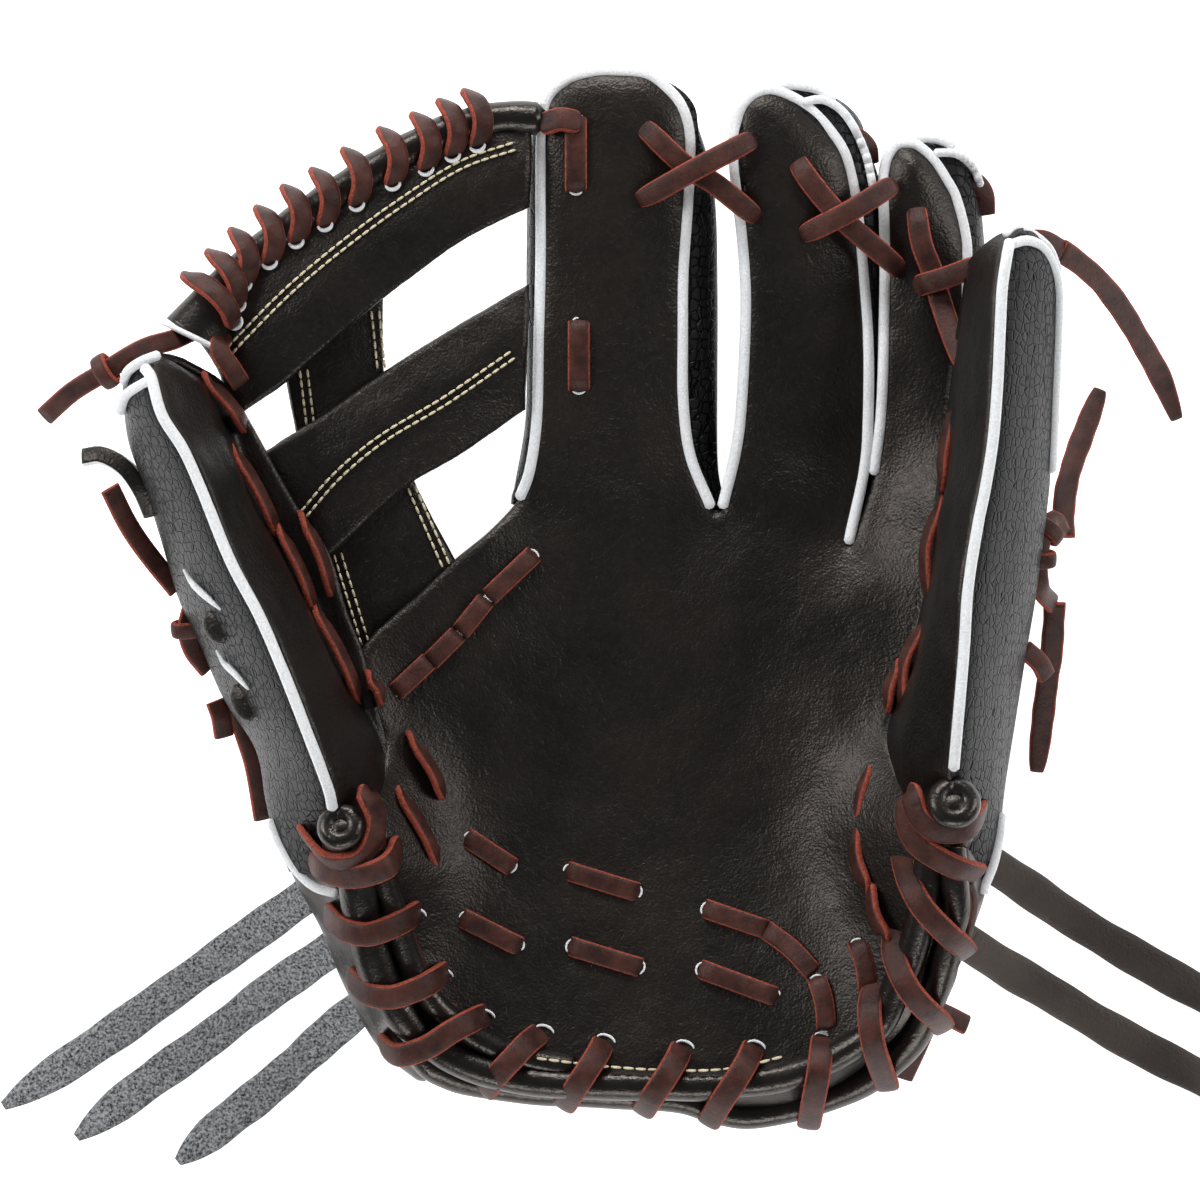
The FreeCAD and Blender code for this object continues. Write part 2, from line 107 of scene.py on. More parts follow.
def smooth(points, count=60, closed=False):
    """An evenly spaced Catmull-Rom curve through the points; a closed one doesn't repeat its first point."""
    p = np.asarray(points, float)
    if closed:
        ext = np.vstack([p[-1:], p, p[:2]])
    else:
        ext = np.vstack([2 * p[:1] - p[1:2], p, 2 * p[-1:] - p[-2:-1]])
    t = np.linspace(0, 1, 12, endpoint=False)[:, None]
    runs = []
    for a, b, c, d in zip(ext, ext[1:], ext[2:], ext[3:]):
        square = (2 * a - 5 * b + 4 * c - d) * t**2
        cube = (3 * b - a - 3 * c + d) * t**3
        runs.append(0.5 * (2 * b + (c - a) * t + square + cube))
    runs.append(ext[-2:-1])
    line = np.vstack(runs)
    if closed:
        return resample(line, count + 1)[:-1]
    return resample(line, count)


def rail(points):
    """A function giving the rail's (x, z) at any y."""
    line = smooth(points, 160)
    line = line[np.argsort(line[:, 1])]

    def at(y):
        return np.interp(y, line[:, 1], line[:, 0]), np.interp(y, line[:, 1], line[:, 2])

    return at


def tangents(line):
    """The direction of a line at each of its points."""
    return unit(np.gradient(line, axis=0))


def grid_faces(rows, columns, closed=False):
    """Quads over a grid of points numbered row by row; a closed grid joins its last column to its first."""
    faces = []
    for i in range(rows - 1):
        for j in range(columns if closed else columns - 1):
            k = (j + 1) % columns
            a = i * columns
            b = a + columns
            faces.append((a + j, a + k, b + k, b + j))
    return faces


def loft(sections):
    """Vertices and faces of a closed solid through closed sections of equal size."""
    sections = np.asarray(sections, float)
    rows, columns = sections.shape[:2]
    faces = grid_faces(rows, columns, closed=True)
    faces.append(tuple(range(columns)))
    faces.append(tuple(range((rows - 1) * columns, rows * columns)))
    return sections.reshape(-1, 3), faces


def join(parts):
    """Several (vertices, faces) pairs as one."""
    verts = []
    faces = []
    count = 0
    for v, f in parts:
        verts.append(np.asarray(v, float))
        faces.extend(tuple(i + count for i in face) for face in f)
        count += len(v)
    return np.vstack(verts), faces


def shell(top, bottom):
    """A closed solid between two grids of points of the same size."""
    rows, columns = top.shape[:2]
    count = rows * columns
    faces = grid_faces(rows, columns)
    faces += [tuple(k + count for k in face[::-1]) for face in faces]
    border = [(0, j) for j in range(columns)] + [(i, columns - 1) for i in range(1, rows)]
    border += [(rows - 1, j) for j in range(columns - 2, -1, -1)] + [(i, 0) for i in range(rows - 2, 0, -1)]
    ring = [i * columns + j for i, j in border]
    for a, b in zip(ring, ring[1:] + ring[:1]):
        faces.append((a, b, b + count, a + count))
    return np.vstack([top.reshape(-1, 3), bottom.reshape(-1, 3)]), faces


def piece(name, parts, materials, slots=None):
    """A mesh object in the shared frame from one (vertices, faces) pair or a list of them."""
    verts, faces = join(parts if isinstance(parts, list) else [parts])
    mesh = bpy.data.meshes.new(name)
    mesh.from_pydata([tuple(v) for v in metres(verts)], [], faces)
    materials = materials if isinstance(materials, (list, tuple)) else [materials]
    for material in materials:
        mesh.materials.append(material)
    if slots is not None:
        mesh.polygons.foreach_set("material_index", np.asarray(slots, np.int32))
    built = bmesh.new()
    built.from_mesh(mesh)
    bmesh.ops.recalc_face_normals(built, faces=built.faces)
    built.to_mesh(mesh)
    built.free()
    mesh.polygons.foreach_set("use_smooth", [True] * len(mesh.polygons))
    obj = bpy.data.objects.new(name, mesh)
    scene.collection.objects.link(obj)
    return obj


def dress(obj, slot, body, *nodes):
    """A finished piece: its finish is not used; a piece given a body is parented to it, one given a bend only
    has its transform baked, and any CAD nodes it stands for are hidden.
    """
    if isinstance(body, str):
        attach(obj, body)
    else:
        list(body)
        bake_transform(obj)
    if nodes:
        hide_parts(*nodes)
    return obj


def made(name, parts, look, body, *nodes):
    """A dressed piece in one of the MATERIALS."""
    return dress(piece(name, parts, MATERIALS[look]), FINISHES[look], body, *nodes)


def made_felt(name, parts, body, node):
    """A felt pad."""
    made(name, parts, "felt", body, node)


def tube(line, radius, sides=14, flatten=1.0, up=UP, rounded=True):
    """A round cord along a line; radius may be one number or one for each point."""
    line = np.asarray(line, float)
    size = np.broadcast_to(np.asarray(radius, float), (len(line),)).copy()
    along = tangents(line)
    if rounded:
        for index, sign in ((0, -1), (-1, 1)):
            cap = line[index] + sign * along[index] * size[index] * 0.55
            at = 0 if index == 0 else len(line)
            line = np.insert(line, at, cap, axis=0)
            size = np.insert(size, at, size[index] * 0.45)
            along = np.insert(along, at, along[index], axis=0)
    side = unit(np.cross(along, up))
    lift = np.cross(side, along)
    turn = np.linspace(0, 2 * math.pi, sides, endpoint=False)
    ring = side[:, None] * np.cos(turn)[None, :, None] + lift[:, None] * np.sin(turn)[None, :, None] * flatten
    return loft(line[:, None] + ring * size[:, None, None])


# Half of a lace's section is 1 wide and 1 thick; runs 0, 1, 8 and 9 are its raw cut edge.
LACE_SECTION = [
    (-1, -0.8), (-1, 0.2), (-0.86, 0.72), (-0.6, 0.9), (-0.3, 0.97), (0, 1), (0.3, 0.97), (0.6, 0.9),
    (0.86, 0.72), (1, 0.2), (1, -0.8), (0.5, -1), (-0.5, -1),
]
RAW_RUNS = (0, 1, 8, 9, 10, 11, 12)


def lace(line, normal, wide=LACE_WIDE, thick=LACE_THICK):
    """A flat lace along a line, its face turned to normal: (vertices, faces, face slots)."""
    line = np.asarray(line, float)
    along = tangents(line)
    normal = np.broadcast_to(np.asarray(normal, float), line.shape)
    side = unit(np.cross(along, normal))
    lift = np.cross(side, along)
    width = np.broadcast_to(np.asarray(wide, float), (len(line),)) / 2
    section = np.array(LACE_SECTION)
    across = side[:, None] * section[None, :, :1] * width[:, None, None]
    rings = line[:, None] + across + lift[:, None] * section[None, :, 1:] * (thick / 2)
    verts, faces = loft(rings)
    slots = [1 if j in RAW_RUNS else 0 for _ in range(len(line) - 1) for j in range(len(section))]
    return verts, faces, slots + [1, 1]


def lace_piece(name, runs, body, *nodes):
    """Laces of brown leather with red raw edges, all in one piece."""
    parts = [(v, f) for v, f, _ in runs]
    slots = [s for _, _, group in runs for s in group]
    obj = piece(name, parts, LACE_MATERIALS, slots)
    dress(obj, "brown_lace", body, *nodes)


def surface(rails, rows, columns):
    """A smooth grid through several rails."""
    lines = [smooth(r, rows) for r in rails]
    grid = []
    for i in range(rows):
        across = [line[i] for line in lines]
        if len(across) == 2:
            grid.append(np.linspace(across[0], across[1], columns))
        else:
            grid.append(smooth(across, columns))
    return np.array(grid)


def grid_normals(grid):
    """The unit normal at each point of a grid."""
    du = np.gradient(grid, axis=0)
    dv = np.gradient(grid, axis=1)
    return unit(np.cross(du, dv))


def thick_sheet(grid, thick, edge=1.2):
    """A closed sheet below a grid of points, thinned to a rounded rim over its last few points."""
    normals = grid_normals(grid)
    if normals[..., 2].mean() < 0:
        normals = -normals
    rows, columns = grid.shape[:2]
    i = np.minimum(np.arange(rows), np.arange(rows)[::-1])[:, None]
    j = np.minimum(np.arange(columns), np.arange(columns)[::-1])[None, :]
    rim = np.clip(np.minimum(i, j) / 2.0, 0, 1)
    drop = edge * (1 - np.sqrt(1 - (1 - rim) ** 2))
    top = grid - normals * drop[..., None]
    bottom = grid - normals * (thick - 0.6 * drop)[..., None]
    return shell(top, bottom)


def thread(line, pitch, radius):
    """Short thread stitches along a line lying on a surface, each bowed up in its middle."""
    total = np.linalg.norm(np.diff(line, axis=0), axis=1).sum()
    count = max(1, int(total / pitch))
    dense = resample(line, count * 8 + 1)
    parts = []
    for i in range(count):
        run = dense[i * 8 + 1:i * 8 + 8].copy()
        bow = np.sin(np.linspace(0, math.pi, len(run)))
        run[:, 2] += 0.15 + bow * radius * 0.8
        parts.append(tube(run, radius * (0.7 + 0.3 * bow), sides=6))
    return parts


# ---------------------------------------------------------------- materials


def shader(name, roughness, specular=0.5):
    """A new material with its nodes, links and main shader."""
    material = bpy.data.materials.new(name)
    material.use_nodes = True
    nodes = material.node_tree.nodes
    base = nodes["Principled BSDF"]
    base.inputs["Roughness"].default_value = roughness
    base.inputs["Specular IOR Level"].default_value = specular
    return material, nodes, material.node_tree.links, base


def textured(nodes, links, kind, scale, **settings):
    """A texture node in metres of the object's own space."""
    where = nodes.new("ShaderNodeTexCoord")
    texture = nodes.new(kind)
    texture.inputs["Scale"].default_value = scale
    for key, value in settings.items():
        if key in ("feature", "distance"):
            setattr(texture, key, value)
        else:
            texture.inputs[key].default_value = value
    links.new(where.outputs["Object"], texture.inputs["Vector"])
    return texture


def two_tone(nodes, links, base, factor, dark, light, low=0.35, high=0.65):
    """The base colour runs from dark to light as factor goes from low to high."""
    ramp = nodes.new("ShaderNodeValToRGB")
    ramp.color_ramp.elements[0].position = low
    ramp.color_ramp.elements[1].position = high
    ramp.color_ramp.elements[0].color = (*dark, 1)
    ramp.color_ramp.elements[1].color = (*light, 1)
    links.new(factor, ramp.inputs["Fac"])
    links.new(ramp.outputs["Color"], base.inputs["Base Color"])


def bumps(nodes, links, base, heights):
    """Bump layers from (height socket, distance in metres) pairs."""
    normal = None
    for height, distance in heights:
        bump = nodes.new("ShaderNodeBump")
        bump.inputs["Strength"].default_value = 1.0
        bump.inputs["Distance"].default_value = distance
        links.new(height, bump.inputs["Height"])
        if normal is not None:
            links.new(normal, bump.inputs["Normal"])
        normal = bump.outputs["Normal"]
    links.new(normal, base.inputs["Normal"])


def smooth_leather(name, dark, light, roughness, specular=0.5, relief=1.0):
    """Dark oiled leather with cloudy colour, fine folds and pores; relief scales its bumps."""
    material, nodes, links, base = shader(name, roughness, specular)
    base.inputs["Specular Tint"].default_value = (1.0, 0.9, 0.82, 1)
    cloud = textured(nodes, links, "ShaderNodeTexNoise", 28.0, Detail=3.0, Roughness=0.5)
    pores = textured(nodes, links, "ShaderNodeTexVoronoi", 1300.0, feature="F1")
    folds = textured(nodes, links, "ShaderNodeTexNoise", 420.0, Detail=4.0, Distortion=1.2)
    two_tone(nodes, links, base, cloud.outputs["Fac"], dark, light)
    rough = nodes.new("ShaderNodeMapRange")
    rough.inputs["To Min"].default_value = roughness - 0.06
    rough.inputs["To Max"].default_value = roughness + 0.14
    links.new(folds.outputs["Fac"], rough.inputs["Value"])
    links.new(rough.outputs["Result"], base.inputs["Roughness"])
    layers = [
        (cloud.outputs["Fac"], 0.0006 * relief),
        (folds.outputs["Fac"], 0.00022 * relief),
        (pores.outputs["Distance"], 0.0001 * relief),
    ]
    bumps(nodes, links, base, layers)
    return material


def pebbled_leather():
    """Near-black leather pressed into small rounded cells about 3 mm across, with painted shade darkening the
    grooves between the cells.
    """
    material, nodes, links, base = shader("pebbled_leather", 0.40, 0.16)
    cells = textured(nodes, links, "ShaderNodeTexVoronoi", 350.0, feature="DISTANCE_TO_EDGE", Randomness=0.6)
    fine = textured(nodes, links, "ShaderNodeTexNoise", 900.0, Detail=3.0)
    dome = nodes.new("ShaderNodeMapRange")
    dome.interpolation_type = "SMOOTHERSTEP"
    dome.inputs["From Min"].default_value = 0.0
    dome.inputs["From Max"].default_value = 0.13
    links.new(cells.outputs["Distance"], dome.inputs["Value"])
    height = dome.outputs["Result"]
    # The colour follows the cell height: the grooves between cells are painted darker as painted shade, and
    # the cells keep the leather's near-black.
    two_tone(nodes, links, base, height, (0.0012, 0.0012, 0.0012), (0.0125, 0.0125, 0.013), 0.1, 0.8)
    bumps(nodes, links, base, [(height, 0.0007), (fine.outputs["Fac"], 0.00005)])
    return material


def fibrous(name, dark, light, roughness, scale, depth):
    """Suede, felt, thread, raw lace edges and the fuzzy white welting."""
    material, nodes, links, base = shader(name, roughness, 0.2)
    fuzz = textured(nodes, links, "ShaderNodeTexNoise", scale, Detail=6.0, Roughness=0.7)
    two_tone(nodes, links, base, fuzz.outputs["Fac"], dark, light, 0.38, 0.62)
    bumps(nodes, links, base, [(fuzz.outputs["Fac"], depth)])
    return material


def lace_face():
    """The brown waxed face of the laces."""
    material, nodes, links, base = shader("lace_face", 0.45, 0.28)
    cloud = textured(nodes, links, "ShaderNodeTexNoise", 160.0, Detail=5.0, Roughness=0.65)
    grain = textured(nodes, links, "ShaderNodeTexNoise", 900.0, Detail=5.0, Roughness=0.7)
    two_tone(nodes, links, base, cloud.outputs["Fac"], (0.026, 0.0086, 0.0064), (0.078, 0.0245, 0.0170))
    bumps(nodes, links, base, [(cloud.outputs["Fac"], 0.00018), (grain.outputs["Fac"], 0.00022)])
    return material


# The dark and light ends of the two blackest leathers.
PALM_TONES = ((0.0034, 0.0030, 0.0028), (0.0100, 0.0082, 0.0074))
ROLL_TONES = ((0.0045, 0.0041, 0.0040), (0.0090, 0.0080, 0.0076))

MATERIALS = {
    "smooth": smooth_leather("smooth_leather", *PALM_TONES, 0.35, specular=0.45, relief=0.9),
    "roll": smooth_leather("roll_leather", *ROLL_TONES, 0.27, specular=0.6, relief=0.5),
    "pebble": pebbled_leather(),
    "lining": smooth_leather("lining_leather", (0.012, 0.011, 0.011), (0.024, 0.022, 0.021), 0.6),
    "felt": fibrous("wool_felt", (0.30, 0.29, 0.27), (0.46, 0.44, 0.41), 0.95, 900.0, 0.0006),
    "welt": fibrous("white_welt", (0.78, 0.80, 0.82), (0.97, 0.98, 0.99), 0.8, 1500.0, 0.00035),
    "thread": fibrous("cream_thread", (0.62, 0.53, 0.35), (0.80, 0.72, 0.52), 0.7, 2500.0, 0.0001),
    "lace": lace_face(),
    "lace_edge": fibrous("lace_raw_edge", (0.17, 0.034, 0.021), (0.42, 0.090, 0.054), 0.85, 1400.0, 0.0003),
    "suede": fibrous("strap_suede", (0.010, 0.011, 0.012), (0.46, 0.475, 0.49), 0.95, 1300.0, 0.0003),
    "grain": smooth_leather("strap_grain", (0.034, 0.028, 0.025), (0.075, 0.061, 0.054), 0.5),
}
LACE_MATERIALS = [MATERIALS["lace"], MATERIALS["lace_edge"]]

# The finish each look belongs to; the sewing thread shares the white welt's.
FINISHES = {
    "smooth": "smooth_leather",
    "roll": "smooth_leather",
    "pebble": "pebbled_leather",
    "lining": "lining_leather",
    "felt": "wool_felt",
    "welt": "white_welt",
    "thread": "white_welt",
    "suede": "strap_suede",
    "grain": "strap_grain",
}


# ---------------------------------------------------------------- loose straps and lace tails

STRAPS = {
    "tie_strap_left_1": [
        (-78, -80, 22), (-89, -88, 15), (-103, -98, 6), (-121, -111, 1.6), (-146, -129, 1.2),
        (-171, -145, 1.2),
    ],
    "tie_strap_left_2": [
        (-73, -97, 19), (-83, -104, 12), (-96, -113, 4.5), (-112, -126, 1.4), (-131, -139, 1.2),
        (-150, -154, 1.2),
    ],
    "tie_strap_left_3": [
        (-63, -112, 16), (-72, -119, 9), (-83, -129, 3.4), (-95, -140, 1.3), (-108, -150, 1.2),
        (-121, -161, 1.2),
    ],
    "tie_strap_right_1": [
        (108, -73, 22), (119, -80, 14), (133, -90, 5.5), (151, -101, 1.5), (176, -115, 1.2),
        (200, -127, 1.2),
    ],
    "tie_strap_right_2": [
        (104, -97, 19), (114, -104, 11), (128, -112, 4), (147, -124, 1.4), (172, -137, 1.2),
        (198, -149, 1.2),
    ],
}
TAILS = {
    "lace_tail_little_tip": [
        (128, 97, 62), (137, 92, 52), (146, 83, 38), (154, 72, 23), (161, 62, 10), (165, 52, 4),
    ],
    "lace_tail_little_upper": [(131, 18, 30), (131, 27, 24), (134, 38, 16), (139, 50, 9), (143, 60, 5)],
    "lace_tail_little_lower": [
        (128.5, -1, 28), (128.5, -13, 21), (127, -26, 14), (126, -38, 8), (125, -49, 4),
    ],
}


def spline_line(name, points):
    """Points read from a NURBS curve over the route, in metres."""
    curve = bpy.data.curves.new(name + "_route", "CURVE")
    curve.dimensions = "3D"
    curve.resolution_u = 16
    spline = curve.splines.new("NURBS")
    spline.points.add(len(points) - 1)
    for point, place in zip(spline.points, metres(points)):
        point.co = (*place, 1.0)
    spline.order_u = 3
    spline.use_endpoint_u = True
    holder = bpy.data.objects.new(name + "_route", curve)
    scene.collection.objects.link(holder)
    drawn = bpy.data.meshes.new_from_object(holder)
    line = np.array([v.co for v in drawn.vertices], float)
    bpy.data.objects.remove(holder)
    bpy.data.meshes.remove(drawn)
    return line


def loose_strip(name, points, wide, thick, body, materials, slot, tip):
    """A free strip of leather along a route, narrowed near its far end to the tip's share of its width."""
    line = spline_line(name, points)
    drawn = resample(line, 60) * PER_METRE - SHIFT
    share = np.linspace(0, 1, len(drawn))
    width = wide * (1 - (1 - tip) * np.clip((share - 0.84) / 0.16, 0, 1) ** 1.5)
    ripple = 1 + 0.03 * np.sin(share * 17 + len(name)) + 0.02 * np.sin(share * 41)
    verts, faces, slots = lace(drawn, UP, width * ripple, thick)
    obj = piece(name + "_strip", (verts, faces), materials, slots)
    dress(obj, slot, body, name)


def all_loose():
    """The five tie straps and the three lace tails."""
    for name, points in STRAPS.items():
        look = "suede" if "left" in name else "grain"
        faces = [MATERIALS[look], MATERIALS[look]]
        loose_strip(name, points, STRAP_WIDE, STRAP_THICK, "root", faces, FINISHES[look], 0.25)
    for name, points in TAILS.items():
        loose_strip(name, points, LACE_WIDE, LACE_THICK, "little_finger", LACE_MATERIALS, "brown_lace", 0.6)


def strap_roots():
    """The stretch of each tie strap under the heel leather, up to where the strap comes free."""
    for side, look in (("left", "suede"), ("right", "grain")):
        roots = []
        for name, points in STRAPS.items():
            if side in name:
                start = np.array(points[0], float)
                back = unit(start - np.array(points[1], float))
                hidden = start + back * 13 - (0, 0, 3)
                line = smooth([hidden, start + back * 7, start + back * 2, start - back * 0.5], 12)
                roots.append(lace(line, UP, 10.3, 1.9)[:2])
        made("tie_strap_roots_" + side, roots, look, "root")


# ---------------------------------------------------------------- the palm and the three finger fronts

INDEX_EDGE = [
    (-22.5, 28.9, 38), (-19.7, 36.5, 40), (-17.7, 50.5, 43), (-17.1, 72.7, 48), (-16.5, 96, 52),
    (-16.4, 125.2, 57), (-15.3, 138.2, 58), (-9.5, 144.6, 58), (-2, 147, 58), (4.5, 147.2, 58),
    (12.8, 146.4, 58), (18.4, 142.6, 58), (22.9, 137, 58), (25, 128, 57), (24.5, 111.4, 55),
    (23.2, 91.5, 51), (23.1, 73, 47), (23.3, 56.1, 43), (25.3, 40.7, 40), (31, 26.5, 38),
]
MIDDLE_EDGE = [
    (34.5, 26.5, 38), (38.2, 42, 41), (39.8, 56, 43.5), (40.8, 80, 48), (40.2, 95, 51), (38.5, 111.5, 54),
    (37.4, 122, 55), (37.6, 131.5, 56), (40.5, 139, 56), (46.6, 142.2, 55), (53.8, 140.2, 54),
    (60.2, 135.5, 53), (65, 130, 52.5), (68.7, 123.6, 52), (71.5, 111.7, 50), (73.3, 95.1, 47),
    (75.1, 72.8, 44), (75.2, 50.5, 41), (74.2, 36.5, 39), (70, 16.5, 38),
]
RING_EDGE = [
    (71.2, 18, 38), (77, 36, 39), (78.9, 53, 41), (79.6, 76, 43), (79.8, 98, 45.5), (79.4, 118.7, 47.5),
    (82.2, 126.6, 47.5), (87, 127.8, 47.5), (90.6, 125.9, 47), (94, 122.3, 46.5), (97.1, 117.5, 46),
    (99.6, 112.8, 45.5), (102.2, 103, 45), (102.8, 94.6, 45), (102.3, 75, 45), (100.3, 52, 46),
    (97.5, 38, 48),
]
ROLL_FRONT = [
    (-67.6, -69, 70), (-66.6, -81.8, 65), (-62.6, -100.3, 58.5), (-55.8, -115, 54.5), (-47.5, -124, 52),
    (-36.3, -130.1, 51), (-22.3, -133.8, 50), (-8.4, -135.2, 50), (4.5, -135.4, 50), (29, -135.7, 50),
    (45.2, -134.3, 50), (55.8, -131.7, 51), (67.2, -126.3, 53), (77.1, -118.8, 57), (82.2, -108.3, 60),
    (86.2, -98.1, 64), (88.8, -87.9, 68), (90, -77.6, 71), (91, -68.9, 73),
]
PALM_RIGHT = [
    (96.1, 27.9, 50), (91.6, 0, 48.5), (85.5, -22.4, 48.5), (81.5, -36, 50), (83, -47, 57), (88, -57, 67),
]
PALM_LEFT = [
    (-66.5, -56, 66), (-61, -48, 56), (-61, -38, 50), (-65.2, -27.9, 49.5), (-66.5, -13.7, 48),
    (-50.1, 2.5, 44), (-40.6, 11.5, 43), (-30.8, 19.6, 42),
]
PALM_CONTROLS = [
    (0, -30, 37), (20, -60, 38), (10, 0, 37.5), (-20, -40, 39), (45, -30, 39), (40, 10, 40), (5, -95, 43),
    (30, -105, 45), (50, -90, 44), (-20, -95, 44), (-35, -80, 45), (60, -60, 43), (-45, -60, 47),
    (68, -75, 49), (-45, -92, 49), (72, -92, 53), (-55, -75, 59), (80, -75, 62), (-30, -112, 47),
    (60, -112, 50), (0, -122, 47.5), (35, -123, 47.5), (-40, -15, 42.5), (70, 0, 43), (62, -35, 43),
    (8, 35, 42), (4, 55, 46.5), (4, 80, 51.5), (4, 110, 57), (4, 135, 59), (56, 42, 42.5), (57, 65, 46.5),
    (57, 90, 50.5), (55, 115, 54.5), (53, 132, 55.5), (88, 55, 43.5), (90, 80, 46), (91, 105, 48),
    (88, 121, 49),
]
PALM_PAD = [
    (-60, -20), (-50, -4), (-28, 16), (0, 26), (40, 24), (84, 22), (84, 0), (76, -30), (66, -56),
    (-40, -58), (-52, -44),
]
HEEL_PAD = [(-42, -62), (64, -62), (70, -84), (66, -104), (40, -122), (0, -124), (-34, -116), (-46, -96)]


def palm_outline():
    """The closed outline of the palm leather with its three finger fronts."""
    return INDEX_EDGE + MIDDLE_EDGE + RING_EDGE + PALM_RIGHT + ROLL_FRONT[::-1] + PALM_LEFT


def thin_plate(points):
    """The height of a thin plate that passes through every (x, y, z)."""
    p = np.asarray(points, float)
    xy = p[:, :2] / 100.0

    def kernel(a, b):
        d2 = ((a[:, None] - b[None]) ** 2).sum(-1)
        return 0.5 * d2 * np.log(np.maximum(d2, 1e-12))

    n = len(p)
    flat = np.hstack([np.ones((n, 1)), xy])
    system = np.zeros((n + 3, n + 3))
    system[:n, :n] = kernel(xy, xy) + np.eye(n) * 1e-4
    system[:n, n:] = flat
    system[n:, :n] = flat.T
    weights = np.linalg.solve(system, np.concatenate([p[:, 2], np.zeros(3)]))

    def height(x, y):
        q = np.stack([np.atleast_1d(x), np.atleast_1d(y)], -1).astype(float) / 100.0
        return kernel(q, xy) @ weights[:n] + weights[n] + q @ weights[n + 1:]

    return height


PALM_HEIGHT = thin_plate([(x, y, z - 0.4) for x, y, z in palm_outline()] + PALM_CONTROLS)


def on_palm(x, y, above):
    """One height above the palm."""
    return float(PALM_HEIGHT(x, y)[0]) + above


def below_palm(depth):
    """A surface at a depth below the palm's, as a function of x and y."""
    return lambda x, y: PALM_HEIGHT(x, y) - depth


def inside(points, outline):
    """Which points lie inside a closed outline."""
    x = points[:, 0][:, None]
    y = points[:, 1][:, None]
    ax, ay = outline[:, 0][None], outline[:, 1][None]
    bx, by = np.roll(outline[:, 0], -1)[None], np.roll(outline[:, 1], -1)[None]
    crossing = ((ay > y) != (by > y)) & (x < (bx - ax) * (y - ay) / (by - ay + 1e-12) + ax)
    return crossing.sum(1) % 2 == 1


def edge_depth(y):
    """How far the padded surface falls towards its welted edge, and over what width."""
    share = np.clip((np.asarray(y, float) - 60) / 60.0, 0, 1)
    return 1.5 + 1.8 * share, 3.0 + 4.5 * share


def snapped(points, within, outline, reach):
    """Each point's distance to an outline; points just outside it are moved onto it, at distance 0."""
    tree = kdtree.KDTree(len(outline))
    for i, (x, y) in enumerate(outline):
        tree.insert((x, y, 0), i)
    tree.balance()
    distance = np.zeros(len(points))
    for i, (x, y) in enumerate(points):
        nearest, _, distance[i] = tree.find((x, y, 0))
        if not within[i] and distance[i] < reach:
            points[i] = nearest[:2]
            distance[i] = 0.0
    return distance


def plane_quads(outline, step):
    """Squares that fill an outline: corner points, their distances to the outline and the faces."""
    x0, y0 = outline.min(0) - step
    x1, y1 = outline.max(0) + step
    gx, gy = np.meshgrid(np.arange(x0, x1, step), np.arange(y0, y1, step), indexing="ij")
    points = np.stack([gx.ravel(), gy.ravel()], 1)
    within = inside(points, outline)
    distance = snapped(points, within, outline, 1.5 * step)
    usable = within | (distance == 0.0)
    index = np.arange(gx.size).reshape(gx.shape)
    corners = [index[:-1, :-1], index[1:, :-1], index[1:, 1:], index[:-1, 1:]]
    quads = np.stack(corners, -1).reshape(-1, 4)
    quads = quads[usable[quads].all(1) & within[quads].any(1)]
    used = np.unique(quads)
    number = np.full(len(points), -1)
    number[used] = np.arange(len(used))
    return points[used], distance[used], number[quads]


def outline_sheet(outline, top, bottom, step=1.0, fillet=None):
    """A closed sheet inside an outline; top and bottom give the heights of its two faces."""
    xy, edge, quads = plane_quads(outline, step)
    depth, width = edge_depth(xy[:, 1]) if fillet is None else (fillet, 3.0)
    roll_off = depth * (1 - np.sqrt(1 - np.clip(1 - edge / width, 0, 1) ** 2))
    upper = np.column_stack([xy, top(xy[:, 0], xy[:, 1]) - roll_off])
    lower = np.column_stack([xy, bottom(xy[:, 0], xy[:, 1])])
    count = len(xy)
    faces = [tuple(q) for q in quads] + [tuple(q[::-1] + count) for q in quads]
    sides = {}
    for q in quads:
        for a, b in zip(q, np.roll(q, -1)):
            sides[(a, b)] = True
    for a, b in sides:
        if (b, a) not in sides:
            faces.append((b, a, a + count, b + count))
    return np.vstack([upper, lower]), faces


def wrinkle(x, y, size, depth, seed=0.0):
    """Irregular creases of a given size and depth."""
    places = [Vector((a / size, b / size, seed)) for a, b in zip(x, y)]
    return np.array([depth * noise.fractal(place, 1.0, 2.1, 4) for place in places])


def creases(grid, size, octaves):
    """The same kind of creases at each point of a grid."""
    return np.array([[noise.fractal(Vector(p / size), 1.0, 2.0, octaves) for p in row] for row in grid])


def flat_outline(points, count):
    """A closed curve through points in the plane."""
    return smooth([(p[0], p[1], 0) for p in points], count, closed=True)[:, :2]


def make_palm():
    """The palm leather, and the felts and liner under it."""
    outline = smooth(palm_outline(), 1800, closed=True)[:, :2]

    def top(x, y):
        base = PALM_HEIGHT(x, y) + 0.5
        folds = wrinkle(x, y, 30.0, 0.6) + wrinkle(x, y * 0.6, 9.0, 0.1, 4.0)
        return base + folds * np.clip((60 - y) / 40.0, 0.35, 1.0)

    sheet = outline_sheet(outline, top, below_palm(2.6))
    nodes = ("palm_leather", "index_front", "middle_front", "ring_front")
    made("palm_front_leather", sheet, "smooth", "root", *nodes)

    def layer(shape, high, low):
        return outline_sheet(flat_outline(shape, 500), below_palm(high), below_palm(low), 2.0)

    made_felt("palm_felt_pad", layer(PALM_PAD, 3.0, 7.0), "root", "palm_felt")
    made_felt("heel_felt_pad", layer(HEEL_PAD, 3.0, 8.5), "root", "heel_pad")
    made("palm_liner_skin", layer(PALM_PAD, 7.4, 9.4), "lining", "root", "palm_liner")


# ---------------------------------------------------------------- the three fixed finger stalls

